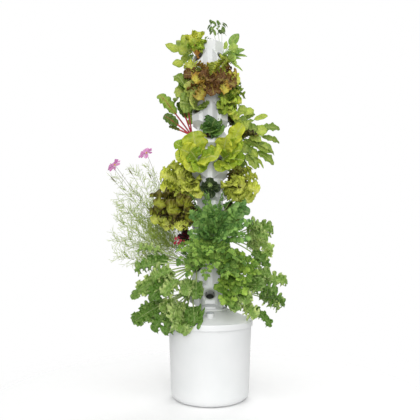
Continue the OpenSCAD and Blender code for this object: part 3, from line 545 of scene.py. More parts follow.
def leafFinish(name, colours, **own):
    # leaf skin: inner colour going over to the outer one at the margin, deeper from leaf to leaf and in
    # blotches, with a midrib and slanting side veins from the leaf's own coordinates
    look = dict(leafSkin, **own)
    inner, outer, deep, vein = (srgb(*colour) for colour in colours)
    material, tree, shader = newMaterial(name)
    parts = node(tree, "ShaderNodeSeparateXYZ")
    tree.links.new(node(tree, "ShaderNodeUVMap", uv_map="leafUv").outputs[0], parts.inputs[0])
    u, v = parts.outputs[0], parts.outputs[1]
    across = maths(tree, "MULTIPLY", maths(tree, "ABSOLUTE", maths(tree, "SUBTRACT", v, 0.5)), 2.0)
    slant = maths(tree, "SUBTRACT", u, maths(tree, "MULTIPLY", across, look["veinSlant"]))
    wave = maths(tree, "PINGPONG", maths(tree, "MULTIPLY", slant, look["veins"]), 0.5)
    sideVein = maths(tree, "MULTIPLY", spread(tree, wave, *look["sideVein"]),
                     spread(tree, across, *look["sideFade"]))
    veinMask = maths(tree, "MAXIMUM", sideVein, spread(tree, across, *look["midrib"]))
    blotch = noise(tree, look["blotchScale"])
    fine = noise(tree, look["fineScale"], look["fineDetail"])
    patch = maths(tree, "MULTIPLY", maths(tree, "SUBTRACT", blotch, 0.5), look["patchy"])
    toMargin = maths(tree, "ADD", across, patch)
    colour = mixed(tree, spread(tree, toMargin, *look["edge"]), inner, outer)
    depth = maths(tree, "ADD", maths(tree, "MULTIPLY", ownTone(tree), look["toneDepth"]),
                  maths(tree, "MULTIPLY", blotch, look["blotchDepth"]))
    colour = mixed(tree, spread(tree, depth, *look["depth"]), colour, deep)
    colour = mixed(tree, maths(tree, "MULTIPLY", veinMask, look["veinShare"]), colour, vein)
    coloured(tree, shader, colour, glossed(tree, fine, look))
    height = maths(tree, "ADD", blotch, maths(tree, "MULTIPLY", fine, look["fineBump"]))
    height = maths(tree, "SUBTRACT", height, maths(tree, "MULTIPLY", veinMask, look["veinBump"]))
    bumped(tree, shader, height, look["bump"], look["crinkle"])
    through = node(tree, "ShaderNodeBsdfTranslucent")
    tree.links.new(colour, through.inputs["Color"])
    mixedSurface(tree, look["through"], shader, through)
    return material


stalkCoat = dict(streakScale=90.0, toneDepth=0.25, depth=(0.2, 0.9), rough=0.4, glossSpan=(0.3, 0.7),
                 smoother=0.06, rougher=0.1, bump=0.25, furrow=0.0008)


def stalkFinish(name, colour, deep, **own):
    # stalk skin: one colour going over to a deeper one in streaks and from stalk to stalk
    look = dict(stalkCoat, **own)
    material, tree, shader = newMaterial(name)
    streak = noise(tree, look["streakScale"])
    depth = maths(tree, "ADD", maths(tree, "MULTIPLY", ownTone(tree), look["toneDepth"]), streak)
    coloured(tree, shader, mixed(tree, spread(tree, depth, *look["depth"]), srgb(*colour), srgb(*deep)),
             glossed(tree, streak, look))
    bumped(tree, shader, streak, look["bump"], look["furrow"])
    return material


plasticSkin = dict(cloudScale=7.0, cloudDetail=4.0, cloudSpan=(0.3, 0.75), glossSpan=(0.25, 0.75),
                   smoother=0.06, rougher=0.08, grain=900.0, grainDetail=2.0, bump=0.08, grainDepth=0.0004)


def plasticFinish(name, colour, shade, **own):
    # moulded plastic: a faint cloudiness in the colour and the gloss, over a fine grain
    look = dict(plasticSkin, **own)
    material, tree, shader = newMaterial(name)
    cloud = noise(tree, look["cloudScale"], look["cloudDetail"])
    coloured(tree, shader, mixed(tree, spread(tree, cloud, *look["cloudSpan"]), srgb(*colour), srgb(*shade)),
             glossed(tree, cloud, look))
    bumped(tree, shader, noise(tree, look["grain"], look["grainDetail"]), look["bump"], look["grainDepth"])
    return material


# the open pot in the front port: its dark colour near the axis is painted shade of the hole, its rim colour
# is the plastic's own
barePot = dict(plasticSkin, port=(1, 0), rim=(196, 199, 194), inside=(34, 38, 32), radii=(0.0195, 0.022),
               glossSpan=(0.3, 0.7, 0.44, 0.58))


def mouthFinish(name, look):
    # moulded plastic that goes from one colour to another by the distance from a port's axis: near the axis
    # it is painted shade, the dark of the open hole's inside, and further out the rim's own light colour
    material, tree, shader = newMaterial(name)
    row, turn = look["port"]
    middle = aim(turn, 0) * tower["portRadius"] + np.array([0, 0, lipHeight(row) + tower["portUp"]])
    away = vectors(tree, "SUBTRACT", ownPlace(tree), tuple(middle))
    square = vectors(tree, "CROSS_PRODUCT", away, tuple(aim(turn, tower["portTilt"])))
    outward = spread(tree, vectors(tree, "LENGTH", square), *look["radii"])
    fine = noise(tree, look["grain"], look["grainDetail"])
    coloured(tree, shader, mixed(tree, outward, srgb(*look["inside"]), srgb(*look["rim"])),
             spread(tree, fine, *look["glossSpan"]))
    bumped(tree, shader, fine, look["bump"], look["grainDepth"])
    return material


# colour, cloudy shade, and the roughness with what else differs from plasticSkin
plastics = dict(
    whitePlastic=((230, 231, 231), (224, 226, 226), dict(rough=0.42)),
    greyPlastic=((176, 180, 182), (160, 164, 166), dict(rough=0.45)),
    blackRubber=((38, 38, 38), (28, 28, 29), dict(rough=0.7, grain=400.0, bump=0.2)),
    pipePlastic=((214, 216, 218), (202, 205, 208), dict(rough=0.3)),
    pumpPlastic=((36, 37, 40), (28, 29, 31), dict(rough=0.5, grain=500.0, bump=0.15)),
    impellerPlastic=((226, 224, 216), (212, 210, 202), dict(rough=0.3)),
    shaftCeramic=((232, 231, 226), (220, 219, 214), dict(rough=0.2)),
    potPlastic=((150, 153, 148), (128, 131, 126), dict(rough=0.5)),
    plugFoam=((74, 56, 40), (40, 30, 22), dict(rough=0.9, grain=350.0, bump=0.6)),
)
finishes = {name: plasticFinish(name, colour, shade, **own)
            for name, (colour, shade, own) in plastics.items()}
finishes["openPot"] = mouthFinish("openPot", barePot)


def numbered(name):
    # the nodes of one name on the five sections
    return [f"{name}_{i}" for i in range(1, 6)]


cadFinish = dict(
    whitePlastic=["reservoir_tub", "reservoir_lid", "tower_base", "top_cap"] + numbered("tower_section"),
    greyPlastic=["fill_cap", "drip_tray"],
    blackRubber=["lid_seal", "cord_grommet", "pump_feet"],
    pipePlastic=["riser_lower", "riser_upper", "riser_coupler"],
    pumpPlastic=["pump_housing", "pump_cover"],
    impellerPlastic=["impeller"],
    shaftCeramic=["impeller_shaft"],
    potPlastic=numbered("net_pots"),
    openPot=["bare_net_pot"],
    plugFoam=numbered("grow_plugs"),
)
for finish, nodes in cadFinish.items():
    for name in nodes:
        mesh = frame["nodes"][name].data
        mesh.materials.clear()
        mesh.materials.append(finishes[finish])
print("finishes on the solids")

# inner, outer, deep and vein colours of each leaf, then what differs from leafSkin
leafColours = dict(
    paleLeaf=((200, 216, 108), (174, 198, 80), (126, 154, 54), (218, 228, 156)),
    looseLeaf=((240, 242, 120), (230, 238, 102), (172, 184, 64), (236, 238, 160)),
    butterLeaf=((212, 221, 78), (220, 225, 68), (158, 190, 44), (234, 238, 152)),
    bronzeLeaf=((172, 180, 46), (110, 96, 28), (54, 44, 14), (184, 186, 78)),
    maroonLeaf=((236, 228, 96), (190, 144, 58), (122, 82, 38), (222, 206, 116)),
    oakLeaf=((229, 229, 97), (195, 221, 78), (134, 164, 53), (229, 229, 138)),
    sorrelLeaf=((189, 225, 134), (157, 200, 110), (112, 158, 83), (220, 229, 164)),
    spinachLeaf=((228, 234, 134), (202, 218, 110), (144, 174, 74), (228, 234, 160)),
    romaineLeaf=((138, 178, 78), (112, 156, 62), (70, 114, 42), (186, 206, 130)),
    curlyLeaf=((229, 229, 104), (229, 229, 75), (167, 207, 52), (229, 229, 156)),
    # kale: its outer colour, at the margins where the frills curl, is a painted highlight, far lighter than
    # the blade
    kaleLeaf=((178, 212, 106), (238, 248, 172), (112, 156, 58), (224, 232, 170)),
    paleParsleyLeaf=((162, 204, 84), (206, 234, 122), (92, 138, 46), (212, 230, 146)),
    chardLeaf=((180, 206, 90), (145, 181, 69), (98, 134, 47), (229, 130, 102)),
    beetLeaf=((84, 34, 40), (54, 22, 26), (34, 16, 18), (170, 46, 60)),
    arugulaLeaf=((212, 226, 106), (184, 206, 86), (130, 160, 58), (230, 232, 140)),
    basilLeaf=((216, 234, 126), (188, 214, 102), (132, 170, 70), (232, 234, 150)),
    broadBasilLeaf=((212, 222, 92), (178, 199, 70), (125, 153, 48), (229, 229, 132)),
    tatsoiLeaf=((96, 116, 66), (70, 92, 48), (44, 62, 32), (156, 176, 112)),
    parsleyLeaf=((184, 222, 122), (158, 206, 104), (108, 160, 76), (200, 224, 150)),
    celeryLeaf=((193, 224, 96), (164, 204, 74), (114, 157, 52), (217, 229, 128)),
    feather=((208, 229, 103), (190, 216, 89), (143, 176, 61), (216, 229, 120)),
    sprigLeaf=((176, 200, 122), (150, 178, 98), (104, 134, 66), (196, 212, 146)),
    petal=((238, 180, 224), (240, 192, 228), (214, 136, 196), (196, 108, 176)),
    redPetal=((226, 96, 106), (232, 116, 124), (196, 62, 76), (176, 50, 66)),
)
leafOwn = dict(
    butterLeaf=dict(veinShare=0.7),
    maroonLeaf=dict(edge=(0.35, 1.1)),
    kaleLeaf=dict(veinShare=0.25),
    paleParsleyLeaf=dict(veinShare=0.25),
    basilLeaf=dict(rough=0.34),
    broadBasilLeaf=dict(rough=0.34),
    petal=dict(veins=2, veinShare=0.3),
    redPetal=dict(veins=2, veinShare=0.3),
)
# colour, deeper colour, and what differs from stalkCoat
stalkColours = dict(
    paleStalk=((186, 206, 132), (150, 176, 92), dict()),
    greenStalk=((150, 182, 88), (112, 148, 58), dict()),
    redStalk=((196, 50, 64), (150, 28, 48), dict(rough=0.34)),
    amberStalk=((196, 150, 62), (160, 78, 34), dict()),
    featherStalk=((128, 134, 88), (104, 92, 70), dict()),
    flowerHeart=((226, 186, 60), (196, 140, 36), dict(rough=0.7)),
)
leafFinishes = {name: leafFinish(name, colours, **leafOwn.get(name, {}))
                for name, colours in leafColours.items()}
stalkFinishes = {name: stalkFinish(name, colour, deep, **own)
                 for name, (colour, deep, own) in stalkColours.items()}
print("finishes for the plants:", len(leafFinishes) + len(stalkFinishes))

# Looks of the kinds: how a plant's leaves are set (rosettes as in the solids) and what one blade is like
lettuceLook = dict(stem=0.008, step=0.008, length=0.112, width=0.062, lower=14, upper=52, droop=0.22,
                   stalk=0.1, fill=10, fillShort=0.4, wide=1.4, grid=(30, 11), profile=(0.7, 0.3), lobes=0,
                   lobe=0, waves=4, ruffle=0.24, frill=0.09, puff=0.06, cup=0.2, curl=0.25, thick=0.0007,
                   rib=0.75, stalkRadius=0.003, leaf="paleLeaf", stalkSkin="paleStalk")
oakLook = dict(lettuceLook, fill=14, grid=(48, 13), lobes=4, lobe=0.36, waves=5)
kinds = dict(
    lettuce=lettuceLook,
    loose=dict(lettuceLook, grid=(52, 13), ruffle=0.42, frill=0.28, waves=6, lobes=3, lobe=0.16, puff=0.12,
               leaf="looseLeaf"),
    butter=dict(lettuceLook, fill=5, wide=1.1, profile=(0.6, 0.42), ruffle=0.16, frill=0.05, waves=3,
                puff=0.1, cup=0.16, curl=0.15, turned=(0.6, 0.95), leaf="butterLeaf"),
    bronze=dict(oakLook, ruffle=0.44, frill=0.32, puff=0.12, leaf="bronzeLeaf"),
    maroon=dict(oakLook, fill=22, wide=1.25, lobe=0.4, ruffle=0.46, frill=0.34, puff=0.12,
                leaf="maroonLeaf"),
    oakleaf=dict(oakLook, wide=1.35, ruffle=0.4, frill=0.28, leaf="oakLeaf"),
    sorrel=dict(lettuceLook, fill=5, wide=1.2, stalk=0.3, profile=(0.7, 0.36), ruffle=0.1, frill=0.03,
                cup=0.25, leaf="sorrelLeaf"),
    romaine=dict(lettuceLook, fill=5, ruffle=0.14, frill=0.05, puff=0.1, leaf="romaineLeaf"),
    curly=dict(lettuceLook, wide=1.1, stalk=0.55, ruffle=0.42, frill=0.26, waves=5, cup=0.35,
               stalkRadius=0.0058, rib=0.65, leaf="curlyLeaf", stalkSkin="amberStalk"),
    kale=dict(stem=0.008, step=0.01, length=0.225, width=0.09, lower=20, upper=56, droop=0.26, stalk=0.56,
              fill=2, fillShort=0.45, wide=1.55, grid=(68, 17), profile=(0.3, 0.24), lobes=3, lobe=0.34,
              waves=4.5, ruffle=0.62, frill=0.42, puff=0.26, cup=0.1, curl=0.45, thick=0.0008,
              rib=0.8, stalkRadius=0.0034, leaf="kaleLeaf", stalkSkin="paleStalk"),
    chard=dict(stem=0.007, step=0.008, droop=0.06, stalk=0.5, fill=0, wide=1.15, grid=(34, 13),
               profile=(0.5, 0.36), lobes=0, lobe=0, waves=4, ruffle=0.18, frill=0.06, puff=0.12, cup=0.1,
               curl=0.2, thick=0.0008, turned=(0.8, 0.95), rib=0.9, stalkRadius=0.0044, leaf="chardLeaf",
               stalkSkin="redStalk"),
    arugula=dict(stem=0.006, step=0.008, droop=0.26, stalk=0.64, fill=26, wide=1.45, grid=(32, 11),
                 profile=(0.6, 0.62), lobes=2.3, lobe=0.14, waves=3, ruffle=0.16, frill=0.06, puff=0.06,
                 cup=0.15, curl=0.25, thick=0.0007, turned=(0.5, 0.95), rib=0.85, stalkRadius=0.0017,
                 leaf="arugulaLeaf", stalkSkin="greenStalk"),
    basil=dict(stem=0.005, step=0.012, length=0.084, width=0.042, lower=22, upper=58, droop=0.16, stalk=0.4,
               fill=6, fillShort=0.45, wide=1.3, grid=(24, 11), profile=(0.6, 0.85), lobes=0, lobe=0,
               waves=2, ruffle=0.06, frill=0.02, puff=0.06, cup=-0.25, curl=0.3, thick=0.0007,
               turned=(0.5, 0.95), rib=0.85, stalkRadius=0.0016, leaf="basilLeaf", stalkSkin="greenStalk"),
    tatsoi=dict(stem=0.008, step=0.006, length=0.062, width=0.036, lower=10, upper=40, droop=0.1, stalk=0.3,
                fill=20, fillShort=0.3, wide=1.25, grid=(16, 9), profile=(0.8, 0.3), lobes=0, lobe=0,
                waves=2, ruffle=0.06, frill=0.02, puff=0.06, cup=0.3, curl=0.2, thick=0.0007,
                rib=0.8, stalkRadius=0.002, leaf="tatsoiLeaf", stalkSkin="paleStalk"),
)
kinds["fewBronze"] = dict(kinds["bronze"], fill=2)
kinds["spinach"] = dict(kinds["romaine"], leaf="spinachLeaf")
kinds["beet"] = dict(kinds["chard"], fill=4, wide=1.3, stalk=0.4, leaf="beetLeaf", stalkRadius=0.002)
kinds["broadBasil"] = dict(kinds["basil"], fill=2, stalk=0.55, turned=(0.8, 0.95), leaf="broadBasilLeaf")


def addLeafy(skin, plant, look, stalks, bladeLook, blades, rng):
    # blades on their stalks and the plant's neck, kept out of the tower
    keepOut = keepOutOf(*plant["port"])
    addBlades(skin, blades, bladeLook, rng, 0, keepOut)
    addStalks(skin, stalks, look, 1, keepOut)
    addNeck(skin, plant, look)


def addPlain(skin, plant, rng):
    # rosettes and leafy stems: blades on stalks, all from the plant's neck
    look = kinds[plant["kind"]]
    leaves = leavesTo(plant, plant["tips"], look, rng) if plant["tips"] else rosetteLeaves(plant, look, rng)
    addLeafy(skin, plant, look, leaves, look, leaves, rng)
    return [leafFinishes[look["leaf"]], stalkFinishes[look["stalkSkin"]]]


parsleyLook = dict(stem=0.007, step=0.008, droop=0.2, stalk=0.05, fill=20, rib=0.98, thick=0.0006,
                   stalkRadius=0.0015, pairs=7, firstPair=0.34, lastPair=0.95, spread=62, tilt=(-0.35, 0.45),
                   leafletShare=0.42, leafletWide=0.85, leafletDroop=0.12, longest=0.037, vary=(0.8, 1.15),
                   swell=(0.3, 0.5), endLeaflet=1.1, twist=0.4)
celeryLook = dict(parsleyLook, fill=9, pairs=4, firstPair=0.5, longest=0.048, leafletWide=0.95)
compoundLooks = dict(parsley=parsleyLook, paleParsley=parsleyLook, celery=celeryLook)
leafletLook = dict(grid=(9, 5), stalk=0.06, profile=(0.5, 0.42), lobes=2.5, lobe=0.42, waves=3, ruffle=0.36,
                   frill=0.2, puff=0.05, cup=0.1, curl=0.2, thick=0.0006)


def leafSet(root, d, side, length, width, droop, most, rng):
    # one set from places, directions and sizes in any layout; tone falls by chance, and twist up to the most
    count = length.size
    return dict(root=root.reshape(-1, 3), dir=d.reshape(-1, 3), side=side.reshape(-1, 3), length=length,
                width=width * np.ones(count), droop=droop * np.ones(count),
                twist=rng.uniform(-most, most, count), tone=rng.uniform(-1, 1, count))


def addCompound(skin, plant, rng):
    # leaves of paired leaflets and one at the end: each leaflet starts on the stalk and slants forward to its
    # own side, and is longest where a sine over the pairs peaks
    look = compoundLooks[plant["kind"]]
    leaves = leavesTo(plant, plant["tips"], look, rng)
    m, pairs = len(leaves["length"]), look["pairs"]
    s = np.linspace(look["firstPair"], look["lastPair"], pairs)
    p, along, w, up = spine(leaves, s)
    slant = math.radians(look["spread"])
    start, span = look["swell"]
    big = np.minimum(leaves["length"][:, None] * look["leafletShare"], look["longest"])
    big = big * np.sin(math.pi * (start + span * (s[None] - s[0]) / (1 - s[0])))
    sets = []
    for side in (-1, 1):
        tilt = rng.uniform(*look["tilt"], (m, pairs, 1))
        d = unit(math.cos(slant) * along + side * math.sin(slant) * w + tilt * up)
        sets.append((p, d, np.cross(up, d), big * rng.uniform(*look["vary"], (m, pairs))))
    sets.append((p[:, -1:], along[:, -1:], w[:, -1:], big[:, :1] * look["endLeaflet"]))
    root, d, across, length = (np.concatenate([part.reshape(-1, *part.shape[2:]) for part in parts])
                               for parts in zip(*sets))
    leaflets = leafSet(root, d, across, length, length * look["leafletWide"], look["leafletDroop"],
                       look["twist"], rng)
    addLeafy(skin, plant, look, leaves, leafletLook, leaflets, rng)
    return [leafFinishes[plant["kind"] + "Leaf"], stalkFinishes["greenStalk"]]


threadRule = dict(rings=5, sides=3, slantVary=14, bend=(-0.1, 0.25), thinning=0.5)


def addThreads(skin, p, along, w, up, length, rng, look, tone):
    # fine threads: each leaves its point at a slant, turned by chance round the stalk, and bends upward
    rule, n = threadRule, len(p)
    psi = rng.uniform(0, fullTurn, (n, 1))
    slant = np.radians(look["slant"] + rng.uniform(-rule["slantVary"], rule["slantVary"], (n, 1)))
    d = np.cos(slant) * along + np.sin(slant) * (np.cos(psi) * w + np.sin(psi) * up)
    t = np.linspace(0, 1, rule["rings"])[None, :, None]
    bend = rng.uniform(*rule["bend"], (n, 1, 1)) * upright
    path = p[:, None] + length[:, None, None] * t * (d[:, None] + bend * t)
    radius = look["threadRadius"] * (1 - rule["thinning"] * t[..., 0]) * np.ones((n, 1))
    addTubes(skin, path, radius, tone, 0, rule["sides"])
    return path


flowerRule = dict(petalRise=0.28, ring=0.003, lengths=(0.9, 1.05), droop=(0.1, 0.4), twist=0.5,
                  heartFrom=-0.7, heartRings=7, heartSides=12, heartHeight=0.8, heartLeast=0.02)
petalLook = dict(grid=(12, 7), stalk=0.08, profile=(0.8, 0.22), lobes=0, lobe=0, waves=1.5, ruffle=0.12,
                 frill=0.06, puff=0.0, cup=0.12, curl=0.1, thick=0.0004)


def addFlowers(skin, at, facing, rng, look, petalMat, heartMat):
    # flowers: petals in a ring about the facing direction, and a domed heart of stacked rings
    rule = flowerRule
    n, k = len(at), look["petals"]
    x = unit(np.cross(upright[None], facing))
    y = np.cross(facing, x)
    a = (np.arange(k) * fullTurn / k)[None, :, None] + rng.uniform(0, 1, (n, 1, 1))
    out = np.cos(a) * x[:, None] + np.sin(a) * y[:, None]
    d = unit(out + rule["petalRise"] * facing[:, None])
    across = np.cross(np.broadcast_to(facing[:, None], d.shape), d)
    length = look["petalLength"] * rng.uniform(*rule["lengths"], n * k)
    petals = leafSet(at[:, None] + rule["ring"] * out, d, across, length, look["petalWidth"],
                     rng.uniform(*rule["droop"], n * k), rule["twist"], rng)
    addBlades(skin, petals, petalLook, rng, petalMat, lambda p: p)
    h = np.linspace(rule["heartFrom"], 1, rule["heartRings"])
    path = at[:, None] + facing[:, None] * (h * look["heart"] * rule["heartHeight"])[None, :, None]
    dome = np.sqrt(np.maximum(1 - h ** 2, rule["heartLeast"]))[None] * look["heart"] * np.ones((n, 1))
    addTubes(skin, path, dome, np.zeros(n), heartMat, rule["heartSides"])


cosmosLook = dict(stem=0.006, step=0.01, droop=-0.16, stalk=0.05, fill=5, rib=1.0, thick=0.0003,
                  stalkRadius=0.0014, nodes=15, threads=3, threadLength=0.075, threadRadius=0.0011, slant=46,
                  firstThread=0.5, shift=0.03, taper=(1.2, 0.4), vary=(0.6, 1.1), branchRings=(1, 2, 3),
                  branchShare=0.5, petals=8, petalLength=0.04, petalWidth=0.024, heart=0.006)
cosmosStalk = dict(cosmosLook, fill=0, droop=-0.12, radius=0.0012, taper=(1.3, 0.5), rings=18, nod=0.5,
                   facing=np.array([-0.3, -0.7, 0.25]), seat=0.003)
cosmosBud = dict(rings=30, radius=0.0008, swell=0.0052, at=0.975, span=0.016)


def addCosmos(skin, plant, rng):
    # feathery fronds of fine threads that branch once, and thin stalks that carry flowers, or buds where
    # their radius swells as a bell curve near the end
    look, carry, bud = cosmosLook, cosmosStalk, cosmosBud
    fronds = leavesTo(plant, plant["tips"], look, rng)
    s = np.linspace(look["firstThread"], 1, look["nodes"])
    p, along, w, up = spine(fronds, s)
    most, less = look["taper"]
    for thread in range(look["threads"]):
        shift = rng.uniform(-look["shift"], look["shift"], p.shape[:2])[..., None]
        shift = shift * fronds["length"][:, None, None] * along
        length = look["threadLength"] * (most - less * s[None]) * rng.uniform(*look["vary"], p.shape[:2])
        length = length.reshape(-1)
        flat = [part.reshape(-1, 3) for part in (p + shift, along, w, up)]
        tone = rng.uniform(-1, 1, len(length))
        path = addThreads(skin, *flat, length, rng, look, tone)
        for ring in look["branchRings"]:
            go = unit(path[:, ring + 1] - path[:, ring])
            across = unit(np.cross(go, flat[3]))
            addThreads(skin, path[:, ring], go, across, np.cross(go, across), look["branchShare"] * length,
                       rng, look, tone)
    addStalks(skin, fronds, look, 1, lambda q: q)
    flowers = leavesTo(plant, plant["flowers"], carry, rng)
    buds = leavesTo(plant, plant["buds"], carry, rng)
    s = np.linspace(0, 1, carry["rings"])
    p, along = spine(flowers, s)[:2]
    most, less = carry["taper"]
    addTubes(skin, p, carry["radius"] * (most - less * s)[None] * np.ones((len(p), 1)), np.zeros(len(p)), 1)
    facing = unit(along[:, -1] * carry["nod"] + carry["facing"])
    addFlowers(skin, p[:, -1] + carry["seat"] * facing, facing, rng, look, 2, 3)
    s = np.linspace(0, 1, bud["rings"])
    p = spine(buds, s)[0]
    swell = bud["radius"] + bud["swell"] * np.exp(-((s - bud["at"]) / bud["span"]) ** 2)
    addTubes(skin, p, swell[None] * np.ones((len(p), 1)), np.zeros(len(p)), 1)
    addNeck(skin, plant, look)
    return [leafFinishes["feather"], stalkFinishes["featherStalk"], leafFinishes["petal"],
            stalkFinishes["flowerHeart"]]


sprigLook = dict(stem=0.005, step=0.008, droop=-0.05, stalk=0.1, fill=0, rib=1.0, thick=0.0004,
                 stalkRadius=0.0017, perSprig=8, leafLength=0.034, leafWidth=0.016, firstLeaf=0.74,
                 lastLeaf=0.99, forward=0.1, hang=0.35, vary=(0.6, 1.1), leafDroop=0.5, twist=0.3)
sprigLeafLook = dict(grid=(14, 7), stalk=0.12, profile=(0.6, 0.6), lobes=0, lobe=0, waves=1.5, ruffle=0.08,
                     frill=0.02, puff=0.0, cup=0.25, curl=0.4, thick=0.0005)


def addSprigs(skin, plant, rng):
    # thin upright stems with small leaves that hang from their upper part
    look = sprigLook
    sprigs = leavesTo(plant, plant["tips"], look, rng)
    m, k = len(sprigs["length"]), look["perSprig"]
    p, along, w, up = spine(sprigs, np.linspace(look["firstLeaf"], look["lastLeaf"], k))
    turn = rng.uniform(0, fullTurn, (m, k, 1))
    out = np.cos(turn) * w + np.sin(turn) * up
    d = unit(out + look["forward"] * along - look["hang"] * upright)
    length = look["leafLength"] * rng.uniform(*look["vary"], m * k)
    leaves = leafSet(p, d, np.cross(along, out), length, look["leafWidth"], look["leafDroop"], look["twist"],
                     rng)
    addLeafy(skin, plant, look, sprigs, sprigLeafLook, leaves, rng)
    return [leafFinishes["sprigLeaf"], stalkFinishes["greenStalk"]]


blossomLook = dict(kinds["beet"], fill=0, rib=1.0, stalkRadius=0.001, petals=5, petalLength=0.02,
                   petalWidth=0.016, heart=0.003, nod=0.3, facing=np.array([-0.3, -0.8, 0.2]))


def addBlossoms(skin, plant, rng):
    # small red flowers on thin stalks beside the beet's leaves
    look = blossomLook
    stalks = leavesTo(plant, plant["tips"], look, rng)
    addStalks(skin, stalks, look, 0, keepOutOf(*plant["port"]))
    p, along = spine(stalks, np.array([0.0, 1.0]))[:2]
    facing = unit(along[:, -1] * look["nod"] + look["facing"])
    addFlowers(skin, p[:, -1], facing, rng, look, 1, 0)
    return [stalkFinishes["greenStalk"], leafFinishes["redPetal"]]


growers = dict(dict.fromkeys(compoundLooks, addCompound), cosmos=addCosmos, sprig=addSprigs,
               blossom=addBlossoms)


def tuft(kind, row, turn, lean=0, lift=46, tips=None, size=1, **more):
    # one plant in its port: its kind, the port's row and turn, the lean and lift of its growth as in the
    # solids, and its leaf ends as places on the photo: pixels across and down, then millimetres of depth
    # towards the back and of a plain blade's width; a plant without them is a rosette of the given size
    return dict(kind=kind, port=(row, turn), growth=(lean, lift), tips=tips, size=size, **more)


